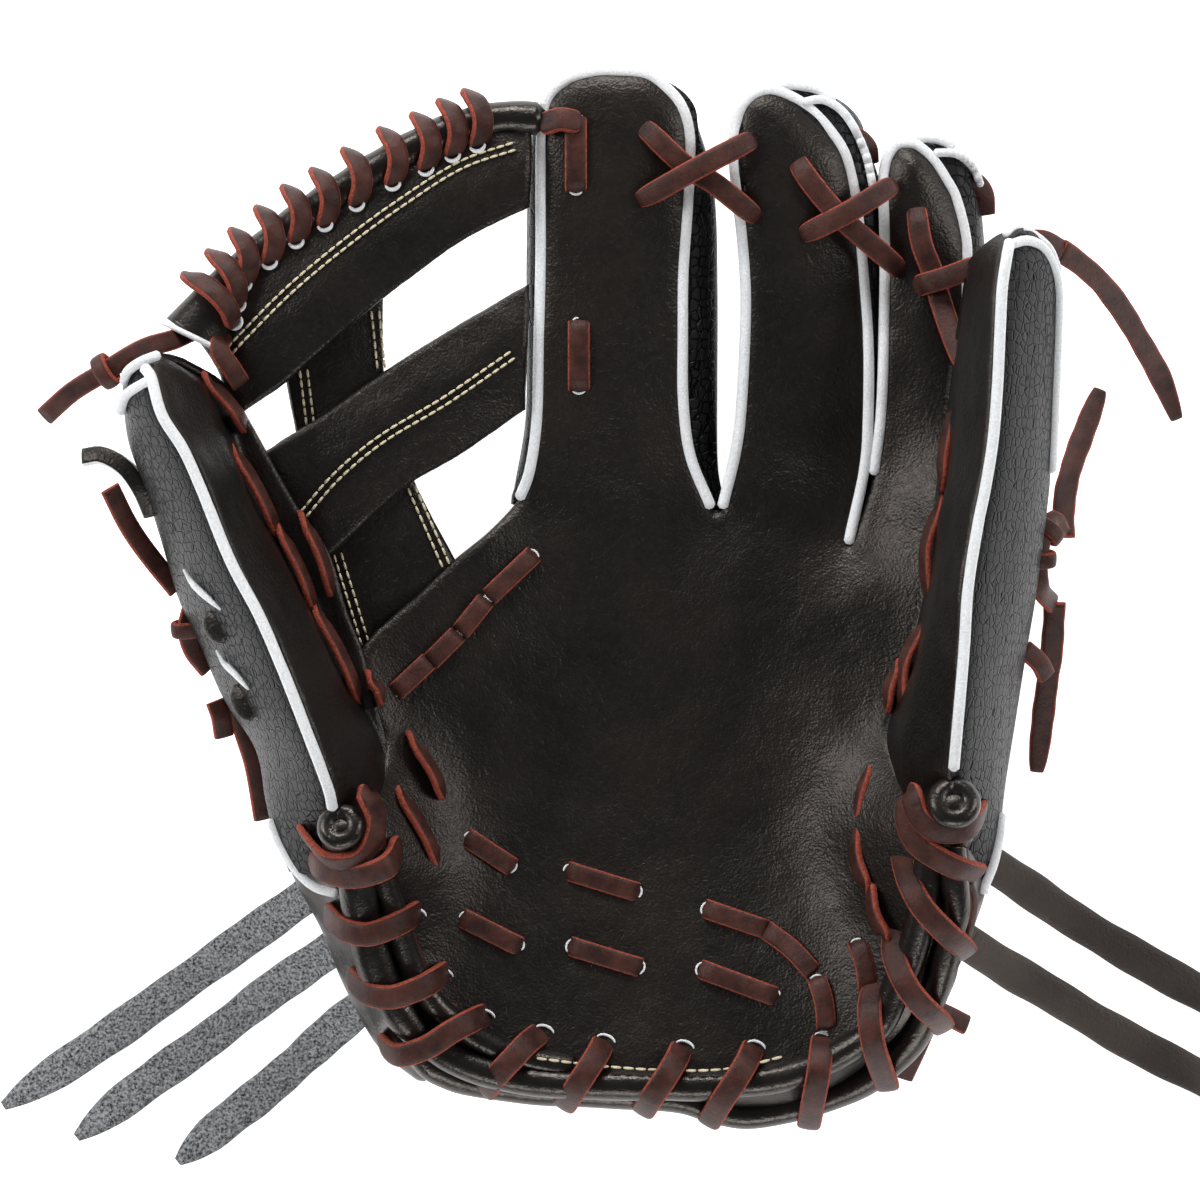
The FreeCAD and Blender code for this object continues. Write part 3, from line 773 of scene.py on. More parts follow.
STALLS = {
    "index": {
        "left": [
            (-24.5, 29, 26), (-20.8, 50.5, 30), (-20.4, 73, 36), (-20.3, 96, 40), (-19.8, 120, 45),
            (-18.2, 135, 47),
        ],
        "right": [
            (34.5, 29.7, 26), (32.9, 42.4, 28), (32.8, 84.4, 36), (32.2, 110.6, 42), (29.9, 124.3, 46),
            (27.2, 133, 47),
        ],
        "edge": (INDEX_EDGE[:7], INDEX_EDGE[13:]),
        "low": [(0, 29, 7), (0, 90, 20), (0, 138, 30)],
        "tip": 147.2,
        "full": 134.0,
    },
    "middle": {
        "left": [
            (34.9, 26, 26), (38.2, 42, 28), (39.6, 56, 30), (40.6, 80, 36), (39.8, 95, 40),
            (38, 111.5, 43), (36.6, 130, 45),
        ],
        "right": [
            (77, 14, 26), (77.8, 30, 27), (79, 56.5, 30), (80, 84.6, 35), (79.6, 98.5, 38),
            (78.6, 116, 41), (74, 130, 42),
        ],
        "edge": (MIDDLE_EDGE[:8], MIDDLE_EDGE[12:]),
        "low": [(0, 26, 7), (0, 90, 19), (0, 134, 28)],
        "tip": 143.4,
        "full": 130.0,
    },
    "ring": {
        "left": [
            (73, 20, 26), (77.8, 36, 27), (79, 53, 28), (79.4, 76, 31), (79.6, 98, 34), (79.2, 120, 37),
        ],
        "right": [
            (98, 20, 26), (101.5, 45, 28), (107.6, 68, 31), (109, 85, 33), (107.8, 104.7, 35),
            (105.8, 119, 37),
        ],
        "edge": (RING_EDGE[:6], RING_EDGE[10:14]),
        "low": [(0, 20, 7), (0, 90, 17), (0, 120, 24)],
        "tip": 129.0,
        "full": 117.0,
    },
}


# Each fixed stall's sections, kept for the welts that lie on it.
STALL_GRIDS = {}


def surface_line(grid, points, above):
    """Points moved to lie just above the top of a grid of points."""
    flat = grid.reshape(-1, 3)
    line = np.asarray(points, float).copy()
    for p in line:
        away = ((flat[:, :2] - p[:2]) ** 2).sum(1)
        close = flat[away < 2.6]
        p[2] = above + (close[:, 2].max() if len(close) else flat[np.argmin(away), 2])
    return line


def stations_to(start, full, tip, count, first):
    """Where a stall's sections stand: evenly up to its full size, then closing up towards its tip."""
    rounding = full + (tip - full) * np.sin(np.linspace(first, 1.57, 14))
    return np.concatenate([np.linspace(start, full, count), rounding])


def tip_share(y, full, tip, least):
    """The share of its full size that a stall's rounded tip still has."""
    return math.sqrt(max(least, 1 - ((y - full) / (tip - full + 0.2)) ** 2))


def stall(name, rails):
    """A padded finger stall: pebbled leather round the back, closed by a soft tip."""
    left, right = rail(rails["left"]), rail(rails["right"])
    edge_left, edge_right = rail(rails["edge"][0]), rail(rails["edge"][1])
    low = rail(rails["low"])
    start = rails["left"][0][1] - 2
    full, tip = rails["full"], rails["tip"]
    stations = stations_to(start, full, tip, 46, 0.1)
    sections = []
    for y in stations:
        station = min(y, full)
        xl, zl = left(station)
        xr, zr = right(station)
        wl, tl = edge_left(station)
        wr, tr = edge_right(station)
        floor = low(station)[1]
        dip = 6.0 * float(np.clip((70.0 - y) / 30.0, 0, 1))
        round_in = min(9.0, 0.28 * (xr - xl))
        ring = [
            (wl + 0.2, tl - 1.2),
            (xl, zl + 3),
            (xl, 0.5 * (zl + floor)),
            (xl + 2, floor + 4),
            (xl + round_in, floor + 0.6),
            (0.5 * (xl + xr), floor),
            (xr - round_in, floor + 0.6),
            (xr - 2, floor + 4),
            (xr, 0.5 * (zr + floor)),
            (xr, zr),
            (0.5 * (xr + wr) + 0.8, 0.5 * (zr + tr) + 1.5 - dip * 0.6),
            (wr, tr - 1.4 - dip),
            (0.5 * (wl + wr), max(tl, tr) - 1.0 - dip),
        ]
        loop = smooth([(x, y, z) for x, z in ring], 72, closed=True)
        if y > full:
            shrink = tip_share(y, full, tip, 0.02)
            centre = np.array((0.5 * (wl + wr) + 0.25 * (xr - wr), y, 0.55 * (tl + floor)))
            loop = centre + (loop - centre) * (shrink, 1, 0.3 + 0.7 * shrink)
        sections.append(loop)
    STALL_GRIDS[name] = np.array(sections)
    made(name + "_stall_leather", loft(sections), "pebble", "root", name + "_back")
    lining = flat_outline(rails["edge"][0] + rails["edge"][1], 300)
    centre = lining.mean(0)
    lining = centre + (lining - centre) * (0.82, 0.94)
    inner = outline_sheet(lining, below_palm(4.5), below_palm(6.3), 2.0)
    made(name + "_lining_skin", inner, "lining", "root", name + "_lining")


INDEX_WELTS = [INDEX_EDGE]
MIDDLE_WELTS = [
    MIDDLE_EDGE,
    [(48, 142.6, 52), (52, 143.6, 50), (57, 143.2, 48), (61.3, 142.1, 47), (65, 139.6, 46)],
    [
        (57, 138.8, 50), (60.2, 139.6, 48), (63.5, 139.2, 46), (67.5, 136.6, 45), (71.2, 131.5, 43),
        (74.4, 124, 42), (76.2, 116, 41),
    ],
]
RING_WELTS = [
    RING_EDGE[1:15],
    [(84, 128.6, 46), (87.1, 129.1, 44), (91.7, 129.3, 42), (95.4, 128.8, 41), (99, 127.2, 40)],
    [(94, 125.2, 44), (98.8, 125.2, 42.5), (102.5, 123.6, 41), (105.2, 120.6, 39.5), (106.8, 116.6, 38)],
]


def welts():
    """The fixed fingers' welts: the first follows the palm's edge, the others lie on the stall."""
    for name, lines in (("index", INDEX_WELTS), ("middle", MIDDLE_WELTS), ("ring", RING_WELTS)):
        parts = []
        for order, points in enumerate(lines):
            line = smooth(points, 150 if order == 0 else 40)
            if order > 0:
                line = surface_line(STALL_GRIDS[name], line, 0.5)
            else:
                line[:, 2] = PALM_HEIGHT(line[:, 0], line[:, 1]) + 1.4 - 0.85 * edge_depth(line[:, 1])[0]
            parts.append(tube(line, WELT_RADIUS if order == 0 else 1.2, flatten=WELT_FLATNESS))
        made(name + "_welting", parts, "welt", "root", name + "_welt")


# ---------------------------------------------------------------- the folding thumb and little finger

THUMB = {
    "crest": [
        (-122.4, 66, 87), (-121.6, 60, 89), (-119, 50.5, 90), (-113, 40.9, 90.5), (-108.1, 30, 90.5),
        (-100.4, 10.9, 90.5), (-92.5, -4.1, 90.5), (-86, -19.1, 90.5), (-78.6, -38.2, 89), (-73.8, -52, 85),
        (-73, -64, 74), (-73.5, -76, 64),
    ],
    "outer": [
        (-131.5, 66, 72), (-132, 58, 68), (-130.9, 44.4, 62), (-126.4, 30.6, 56), (-122.9, 18.2, 50),
        (-117.6, 0, 45), (-111.3, -14, 42), (-105.2, -28, 42), (-96.4, -42, 43), (-93.5, -56, 45),
        (-91, -66, 46), (-87, -76, 46),
    ],
    "crease": [
        (-112.5, 66, 61), (-104.3, 51.4, 58), (-99.1, 33.4, 55), (-90.3, 16.7, 53), (-80.9, -1.4, 51),
        (-72.6, -19.5, 50), (-66.5, -31, 50), (-60.5, -45, 51), (-60.5, -56, 52), (-61.5, -66, 55),
        (-62.5, -76, 56),
    ],
    "low": [(-122, 66, 54), (-117, 30, 31), (-104, 0, 17), (-92, -30, 12), (-82, -58, 13), (-76, -76, 17)],
    "flange": [
        (-109.5, 66, 60), (-106.5, 62, 59.5), (-99, 52, 58), (-91.4, 38.1, 56), (-83, 23.6, 54),
        (-75.6, 13, 52.5), (-71.2, -2.1, 51), (-66.5, -14.2, 50), (-63.5, -26, 49.5), (-60, -38, 49.5),
        (-58.5, -50, 51), (-59.5, -66, 54), (-61, -76, 56),
    ],
    "start": -76.0,
    "full": 58.0,
    "tip": 66.8,
    "side": -1,
}
LITTLE = {
    "crest": [
        (111.2, 99, 87), (110.9, 94, 89), (109.4, 84.9, 90), (108.9, 73.1, 90.5), (108.1, 58.4, 90.5),
        (107, 43.7, 90.5), (104.8, 30, 90.5), (102.9, 20.7, 90.5), (100.2, 3.5, 90.5), (99.1, -13.4, 90.5),
        (97.7, -30.3, 90), (96.4, -46, 86), (97.5, -58, 77), (98.5, -70, 69), (98, -82, 62),
    ],
    "outer": [
        (124.3, 99.4, 71), (126.6, 88.6, 66), (126.5, 74.4, 62), (126, 55.6, 58), (125.4, 36.2, 54),
        (124.7, 26.8, 52), (121.9, 2.8, 48), (119, -16, 45), (116.3, -33.6, 44), (113.6, -50.4, 45),
        (111.7, -65.6, 46), (108.4, -82, 48),
    ],
    "crease": [
        (103.6, 99, 62), (102.3, 85, 58), (100.5, 72.4, 56), (99, 62.7, 53), (97.7, 44.7, 51),
        (96.1, 27.9, 50), (91.6, 0, 49), (85.5, -22.4, 49), (81.5, -37, 50), (82.5, -48, 54),
        (86, -60, 60), (88.5, -72, 60), (90, -82, 60),
    ],
    "low": [(117, 99, 54), (117.5, 60, 37), (114, 30, 26), (107, 0, 17), (100, -50, 14), (96, -82, 18)],
    "flange": [
        (102.8, 99, 61), (101, 85, 57), (99, 72.4, 55), (97, 62.7, 52), (95.5, 44.7, 49.5),
        (93.5, 27.9, 48.5), (89, 0, 47.5), (83, -22.4, 47.5), (79, -37, 48.5), (80.5, -48, 53),
        (84.5, -60, 59), (87.5, -72, 59), (89, -82, 59),
    ],
    "start": -82.0,
    "full": 91.0,
    "tip": 101.5,
    "side": 1,
}


def flap_sections(rails):
    """A folding stall's closed sections, and the lines of its front leather from flange to crest."""
    keys = ("crest", "outer", "crease", "low", "flange")
    crest, outer, crease, low, flange = (rail(rails[key]) for key in keys)
    side = rails["side"]
    start, full, tip = rails["start"], rails["full"], rails["tip"]
    stations = stations_to(start, full, tip, 60, 0.12)
    loops = []
    fronts = []
    for y in stations:
        cx, cz = crest(y)
        ox, oz = outer(y)
        kx, kz = crease(y)
        lx, lz = low(y)
        fx, fz = flange(y)
        mx = 0.55 * kx + 0.45 * cx
        mz = 0.55 * kz + 0.45 * cz
        ring = [
            (cx, cz),
            (cx + 0.5 * (ox - cx) + side * 2.2, cz + 0.42 * (oz - cz)),
            (ox, oz),
            (ox - side * 1.2, 0.5 * (oz + lz)),
            (lx + side * 4, lz + 2.5),
            (lx - side * 3, lz),
            (0.5 * (lx + kx) - side * 4, lz + 3),
            (kx + side * 3.5, 0.5 * (kz + lz)),
            (kx + side * 1.5, kz - 2),
            (mx - side * 2.2, mz),
        ]
        front = [
            (fx, fz),
            (kx - side * 0.2, kz + 0.6),
            (mx - side * 3.4, mz),
            (cx - side * 2.4, cz - 2.0),
            (cx - side * 0.3, cz + 0.7),
        ]
        loop = smooth([(x, y, z) for x, z in ring], 84, closed=True)
        inner = smooth([(x, y, z) for x, z in front], 28)
        if y > full:
            shrink = tip_share(y, full, tip, 0.03)
            centre = np.array((0.5 * (ox + cx), y, 0.5 * (kz + cz) + 4))
            loop = centre + (loop - centre) * (shrink, 1, shrink)
            inner = centre + (inner - centre) * (shrink, 1, shrink)
        loops.append(loop)
        fronts.append(inner)
    return np.array(loops), np.array(fronts)


def bend_between(body, fixed, free):
    """A bend from the root at one point to a folding body at another."""
    return "root", body, tuple(metres(fixed)), tuple(metres(free))


def crease_bend(rails, body):
    """Where a folding stall bends: fixed at its heel end, free beyond its lower third."""
    crease = rail(rails["crease"])
    ends = []
    for y in (-72.0, -26.0):
        x, z = crease(y)
        ends.append((x, y, z))
    return bend_between(body, *ends)


def flap(name, body, rails):
    """A folding stall: pebbled leather, smooth front leather and felt. Returns its sections and its bend."""
    loops, fronts = flap_sections(rails)
    bend = crease_bend(rails, body)
    made(name + "_stall_leather", loft(loops), "pebble", bend, name + "_back")
    normals = grid_normals(fronts)
    if (normals[..., 0].mean() > 0) == (rails["side"] > 0):
        normals = -normals
    fronts = fronts + normals * (0.6 + 0.8 * creases(fronts, 16.0, 3))[..., None]
    made(name + "_front_leather", shell(fronts, fronts - normals * 2.4), "smooth", bend, name + "_front")
    pad_grid = fronts[4:-14, 10:-6] - normals[4:-14, 10:-6] * 3.2
    made_felt(name + "_felt_pad", thick_sheet(pad_grid, 3.0, edge=0.5), bend, name + "_felt")
    return loops, bend


THUMB_WELTS = [
    [
        (-124.6, 63.5, 87.2), (-122.6, 60.5, 89.6), (-119.6, 50.5, 91.4), (-113.6, 40.9, 91.6),
        (-108.7, 30, 91.6), (-101, 10.9, 91.6), (-93.1, -4.1, 91.6), (-86.6, -19.1, 91.6),
        (-79.2, -38.2, 90.2), (-74.6, -51, 86.4), (-73.4, -57, 82),
    ],
    [(-130.9, 60, 77.5), (-129.4, 62.8, 82.5), (-125.6, 65.2, 86.5), (-121, 67, 86.5)],
    [(-132.6, 52.1, 70), (-130.2, 56.4, 79), (-125.2, 59.1, 87), (-122.4, 60.1, 89.6)],
    [
        (-91.8, -62, 49), (-90.2, -66, 50), (-88.2, -69.8, 51), (-84.6, -75.4, 53), (-79.4, -79.8, 55.5),
        (-73.2, -81.6, 58),
    ],
]
LITTLE_WELTS = [
    [
        (112.2, 98, 86.6), (111.2, 94, 90), (109.8, 84.9, 91.4), (109.2, 73.1, 91.6), (108.5, 58.4, 91.6),
        (107.3, 43.7, 91.6), (105.1, 30, 91.6), (103.2, 20.7, 91.6), (100.5, 3.5, 91.6),
        (99.4, -13.4, 91.6), (98, -30.3, 91), (96.8, -46, 87.4),
    ],
    [
        (112.4, 97.2, 87.2), (117, 98.6, 83.5), (121.6, 97.1, 77.5), (125, 92.4, 71.5), (126.8, 86, 66.5),
        (127, 74.4, 62.2), (126.5, 55.6, 58.2), (125.9, 36.2, 54.2),
    ],
    [(111.3, 100.2, 84), (113.7, 101.9, 81), (118.4, 100.9, 77), (123.8, 96.9, 71.5), (126.6, 91, 67.5)],
    [(112, -60, 50), (111.4, -66, 51), (109.6, -73.5, 54), (106.4, -81, 57)],
]


def folding_welts(name, bend, lines):
    """A folding stall's welts; the first, along its crest, is the longest and thickest."""
    parts = []
    for order, points in enumerate(lines):
        count, radius = (110, WELT_RADIUS) if order == 0 else (40, WELT_RADIUS * 0.9)
        parts.append(tube(smooth(points, count), radius, flatten=WELT_FLATNESS))
    made(name + "_welting", parts, "welt", bend, name + "_welt")


# ---------------------------------------------------------------- laces


def run_of(points, count):
    """A straight line between two points, or a curve through more."""
    if len(points) > 2:
        return smooth(points, count)
    return np.linspace(points[0], points[-1], count)


def stitch(points, above, wide=5.6):
    """A run of lace lying on the palm, going down a hole at each end."""
    line = run_of([(p[0], p[1], 0.0) for p in points], 19)
    for p, t in zip(line, np.linspace(-1, 1, 19)):
        p[2] = on_palm(p[0], p[1], above) + 1.3 - 4.3 * abs(t) ** 9
    return lace(line, UP, wide=wide)


def draped(points, hub, wide=LACE_WIDE, count=26):
    """A loop of lace whose face turns away from a hub."""
    line = smooth(points, count)
    away = line - np.asarray(hub, float)
    along = tangents(line)
    normal = unit(away - along * (away * along).sum(1, keepdims=True))
    taper = 1 - 0.3 * np.abs(np.linspace(-1, 1, count)) ** 8
    return lace(line, normal, wide=wide * taper, thick=LOOP_THICK)


def rim(centre, away, wide, radius, deep=1.5):
    """The pale raw lip of a lace hole, showing past the end of its lace."""
    turn = np.linspace(-1.35, 1.35, 15)
    away = unit(np.array((away[0], away[1], 0.0)))
    across = np.cross(UP, away)
    half = across * wide * 0.5
    line = np.asarray(centre) + np.outer(np.cos(turn), away * deep) + np.outer(np.sin(turn), half)
    return tube(line, radius * np.cos(turn * 0.9) ** 0.6, sides=8, flatten=0.6)


PALM_STITCHES = [
    [(-37.6, -66.2), (-24.1, -75.2)], [(-9.8, -75.7), (11.2, -82.2)], [(-39, -88.6), (-21.9, -97.3)],
    [(-9, -96.7), (12, -103.1)], [(27.4, -103), (49.8, -111.1)], [(28.9, -86.3), (47.1, -92.4)],
    [(45.9, -91.9), (53.5, -97.5), (59.9, -104.4)], [(60.4, -105.2), (62.4, -112), (63.2, -120)],
    [(71.5, -94.9), (73.6, -101.5), (74.7, -108.7)],
]
WEB_STITCHES = [
    [(-18.2, 13.2), (-31.4, 0.6)], [(-31.9, 0.1), (-39.2, -9)], [(-39.8, -9.5), (-47.6, -17.4)],
    [(-47.6, -16.8), (-57.4, -26)],
]
THUMB_STITCHES = [
    [(-110, 61.7, 63), (-98.9, 48.9, 61)], [(-102.3, 42.5, 61), (-90.2, 20, 58)],
    [(-89.7, 20.1, 57), (-79.7, -1.4, 55.5)], [(-79.7, -2, 55.5), (-67.2, -27.1, 53)],
    [(-82.9, 22.8, 57), (-75, 3.3, 55)], [(-64.7, -21.8, 53), (-61.1, -27.1, 53)],
    [(-53.1, -38.8, 49.5), (-44.1, -53.6, 48.5)], [(-56.3, -53.2, 55), (-45.2, -73.1, 50)],
]
LITTLE_STITCHES = [
    [(99.2, 54.6, 57), (97, 43, 56), (95.3, 31.8, 55)],
    [(95.3, 27.9, 54), (91.8, 14.5, 52.5), (91.8, -0.8, 52)],
    [(91.8, -4.5, 52), (85.7, -18.1, 51.5), (84.8, -33.8, 52.5)], [(83.2, -18.7, 50), (80.4, -29.3, 50)],
    [(75.6, -46.1, 49), (73.1, -55.8, 49), (71.2, -61.7, 49)],
    [(71.7, -62, 49), (72.5, -72.5, 52), (74.7, -80.8, 57)],
    [(75.2, -80.2, 57), (77.7, -89.1, 60), (80.6, -94.5, 62)],
]
INDEX_LACES = [
    [(-16.4, 131.9, 60), (-11.1, 133.4, 62.4), (-5.5, 132.5, 61)],
    [(-6.7, 134.8), (-6.7, 124.8), (-6.7, 113.2)],
    [(-5.9, 78.4), (-5.9, 58.1)],
]
CROSSES = {
    "index_middle_lace": (
        [
            (11, 111.2, 58), (17, 114.2, 61.5), (24.9, 118.6, 63.4), (33, 123, 62.4), (40.3, 126.9, 60),
            (42.5, 128, 57),
        ],
        [
            (11.5, 132, 57.5), (14.5, 129.2, 60), (21.1, 122.8, 60.4), (26, 119, 59.4), (32, 115.6, 59),
            (41, 108.5, 57.2), (43.5, 106.8, 54),
        ],
    ),
    "middle_ring_lace": (
        [
            (56.5, 101.8, 52.5), (62, 104.3, 56), (68.9, 107.8, 57.5), (75, 111.5, 56), (79.9, 114.7, 53),
            (82, 116, 50),
        ],
        [
            (54.6, 123.4, 53), (56.4, 119.4, 57), (61.3, 112.8, 57), (68, 105.6, 55), (74.6, 100, 53),
            (81.9, 93.9, 50), (83.8, 92, 46),
        ],
    ),
    "ring_little_lace": (
        [(88.8, 87.6, 46), (90.6, 88.2, 52.5), (96.2, 89.8, 54.5), (102.5, 92, 59), (106, 93, 62)],
        [
            (88.6, 111, 46), (88.7, 106, 50.3), (89.9, 99, 50.8), (92.6, 92, 50.4), (95.2, 83, 51),
            (97.4, 76, 53), (99.4, 70, 55.5), (101, 65, 58),
        ],
    ),
}


def palm_laces():
    """The stitches of the heel pad, the web's foot and the index finger."""
    pad = [stitch(points, 0.6) for points in PALM_STITCHES]
    lace_piece("palm_pad_lacing", pad, "root", "heel_pad_lace")
    foot = [stitch(points, 0.8) for points in WEB_STITCHES]
    lace_piece("palm_web_lacing", foot, "root", "palm_web_lace")
    index = [draped(INDEX_LACES[0], (-11, 131, 50), wide=6.6)]
    index += [stitch(points, 0.7, wide=6.2) for points in INDEX_LACES[1:]]
    lace_piece("web_index_lacing", index, "root", "web_index_lace")


def tip_laces():
    """The crossed laces that tie each fingertip to the next; the last one reaches a folding finger."""
    bend = bend_between("little_finger", (94, 88, 50), (103, 90, 55))
    for name, (over, under) in CROSSES.items():
        runs = []
        for points in (under, over):
            middle = np.mean(points, axis=0)
            runs.append(draped(points, (middle[0], middle[1], 10.0), wide=6.2))
        lace_piece(name + "d", runs, bend if "little" in name else "root", name)


def palm_hole_rims():
    """Pale lips at both ends of each palm stitch and at the heel's lace holes."""
    rims = []
    for points in PALM_STITCHES + WEB_STITCHES + INDEX_LACES[1:]:
        for a, b in ((points[0], points[-1]), (points[-1], points[0])):
            away = unit(np.array(a) - np.array(b))
            x, y = np.array(a) - away * 1.1
            rims.append(rim((x, y, on_palm(x, y, 0.62)), away, wide=3.8, radius=0.32))
    for x, y in HEEL_HOLES:
        rims.append(rim((x + 0.2, y - 0.4, on_palm(x, y, 0.8)), (0.35, 1.0), wide=5.2, radius=0.4))
    made("lace_hole_rims", rims, "welt", "root")


def crease_laces(name, stitches, side, bend):
    """The laces along a folding stall's crease, their faces turned to the pocket."""
    runs = []
    t = np.linspace(-1, 1, 19)
    for points in stitches:
        line = run_of(points, 19)
        line[:, 2] += 1.6 - 5.0 * np.abs(t) ** 6
        line[:, 0] -= side * 1.2 * (1 - t**2)
        runs.append(lace(line, unit(np.array((-side * 0.92, 0.1, 0.38))), wide=5.4, thick=2.2))
    lace_piece(name + "_crease_lacing", runs, bend, name + "_crease_lace")


# ---------------------------------------------------------------- lace ends, knots and thumb details

THUMB_ENDS = [
    [
        (-109.5, 76.5, 57), (-114, 74.5, 58), (-118.5, 72, 65.5), (-124.2, 70.1, 72), (-129.5, 67.3, 75),
        (-137, 62.5, 75.5), (-145.8, 57.5, 70), (-154, 51, 62),
    ],
    [(-136.8, 31.2, 50), (-132, 21, 45), (-126.5, 12.6, 41), (-118.7, 2.8, 38)],
    [(-114.2, -1, 40), (-115.8, -8, 38), (-114.5, -14, 35), (-110.5, -19.5, 31)],
    [(-108.5, -28.5, 30), (-107, -33, 29), (-106.3, -38.5, 26)],
    [(-103, -30, 28), (-100.3, -39, 23), (-97.9, -47.8, 19), (-95.7, -62.3, 14)],
]
LITTLE_ENDS = [
    [(118, 99.5, 70), (123, 99.6, 66.5), (128, 97.3, 62)],
    [
        (130.5, 18.5, 31), (127.8, 22.5, 37), (124.2, 18, 42), (122.8, 10, 43), (124, 3, 40),
        (128, -1, 29),
    ],
    [(119.5, -14, 40), (123.6, -17.5, 37), (126, -21.5, 33)],
]
ROOT_ENDS = [
    [(93, -114, 54), (97.5, -116.2, 50), (102.5, -118.9, 46)],
    [(91.5, -119, 46), (89, -125.5, 42), (85.2, -134.3, 38)],
    [(64, 131, 46), (71, 130, 45), (74.9, 127, 43), (75.6, 122.5, 41)],
    [(99, 119.5, 40), (104.5, 118.2, 39), (108, 114.5, 37), (108.6, 108.5, 35)],
    [(-103.2, 75, 56), (-105.3, 71.8, 63), (-105.1, 68.5, 64.5), (-102.6, 64.9, 64), (-99.6, 60, 60.5)],
]
KNOTS = {
    "thumb": [((-136.2, 63.0, 75.5), (-0.85, -0.5, -0.1)), ((-115.6, -8, 38.5), (0.1, -1, 0))],
    "little": [((123.0, 11.5, 42.5), (0, -1, 0)), ((125.5, 19.5, 40), (0.6, 0.8, 0))],
}


def knot_ring(centre, along):
    """One tight turn of lace round another."""
    along = unit(np.asarray(along, float))
    side = unit(np.cross(along, UP))
    lift = np.cross(side, along)
    turn = np.linspace(0, 2 * math.pi, 25)
    centre = np.asarray(centre, float)
    ring = centre + np.outer(np.cos(turn), side * 4.2) + np.outer(np.sin(turn), lift * 2.3 + along * 0.8)
    return lace(ring, unit(ring - centre), wide=4.6, thick=1.8)


def lace_ends(name, lines, body):
    """The short lace ends and knots of one body."""
    runs = [lace(smooth(points, 24), unit(np.array((0.25, 0.1, 1.0))), wide=5.6) for points in lines]
    runs += [knot_ring(*where) for where in KNOTS.get(name, [])]
    lace_piece(name + "_lace_ends", runs, body)


def thumb_leather_end(bend):
    """The end of a black leather strip beside the thumb."""
    strip = lace(smooth(THUMB_STRIP, 24), unit(np.array((-0.3, 0.3, 1.0))), wide=5.2, thick=2.2)
    obj = piece("thumb_leather_end", strip[:2], [MATERIALS["smooth"], MATERIALS["welt"]], strip[2])
    dress(obj, FINISHES["smooth"], bend)


THUMB_STRIP = [(-144.2, 39.9, 52), (-138.8, 40.4, 54), (-132.5, 37, 55.5), (-128, 31, 55), (-125, 23.7, 51)]
THUMB_SLITS = [
    [(-115.2, 8.4), (-112.6, 4.6), (-109.4, 1.6), (-104.4, -2.6)],
    [(-106.4, -14), (-104, -17.6), (-101, -20.3), (-97, -24.6)],
]
THUMB_PATCHES = [((-108.4, -3.6), (-104.0, -11.6)), ((-101.2, -24.0), (-96.6, -33.0))]


def eased(line, count=9):
    """A line with each height averaged over its neighbours."""
    heights = np.pad(line[:, 2], count // 2, mode="edge")
    line[:, 2] = np.convolve(heights, np.ones(count) / count, mode="valid")
    return line


def thumb_details(loops, bend):
    """Two pale slits where lace tunnels under the leather, each with a smooth patch below it."""
    outside = loops[:, :30]
    slits = []
    for points in THUMB_SLITS:
        line = smooth([(x, y, 0) for x, y in points], 24)
        line = eased(surface_line(outside, line, 0.0))
        slits.append(tube(line, 0.25 + 0.75 * np.sin(np.linspace(0.1, 3.04, 24)), sides=8, flatten=0.6))
    made("thumb_slit_edges", slits, "welt", bend)
    patches = []
    for (ax, ay), (bx, by) in THUMB_PATCHES:
        line = np.linspace((ax, ay, 0), (bx, by, 0), 22)
        line = eased(surface_line(outside, line, -1.4), 21)
        size = 0.4 + 3.4 * np.sqrt(np.sin(np.linspace(0.02, 3.12, 22)))
        patches.append(tube(line, size, sides=16, flatten=0.32, up=unit(np.array((-0.55, 0.2, 0.8)))))
    made("thumb_smooth_patches", patches, "smooth", bend)


# ---------------------------------------------------------------- heel rolls and their loops

ROLL_INNER = [
    (-61.5, -70, 68), (-60, -76, 67), (-58.3, -82, 65), (-55.5, -92, 61.5), (-52.2, -102, 58),
    (-46.5, -112, 55), (-38.5, -119.3, 52), (-29, -124.8, 51), (-18, -128.6, 50), (-8, -130.5, 49),
]
ROLL_BACK = [
    (-68, -68, 60), (-67, -82, 57), (-63, -99, 52), (-57, -114, 48), (-49.4, -128, 45),
    (-42.2, -133.1, 42), (-33.8, -135.6, 39), (-16.9, -137.9, 36), (5.6, -139.1, 35), (22.5, -140.3, 35),
    (31.8, -143, 35), (41.7, -144.7, 35), (54, -142.7, 36), (66.9, -138.5, 39), (77.6, -132.5, 44),
    (86.8, -123.1, 50), (91.9, -111.9, 56), (94.9, -101.6, 61), (96.9, -92.5, 65), (98.2, -85.7, 68),
    (97.6, -77.6, 71), (97, -66.9, 73),
]
HEEL_SEAM = [(-18, -127.6), (-2, -129.6), (18, -131), (36, -130.6), (51, -127.2)]
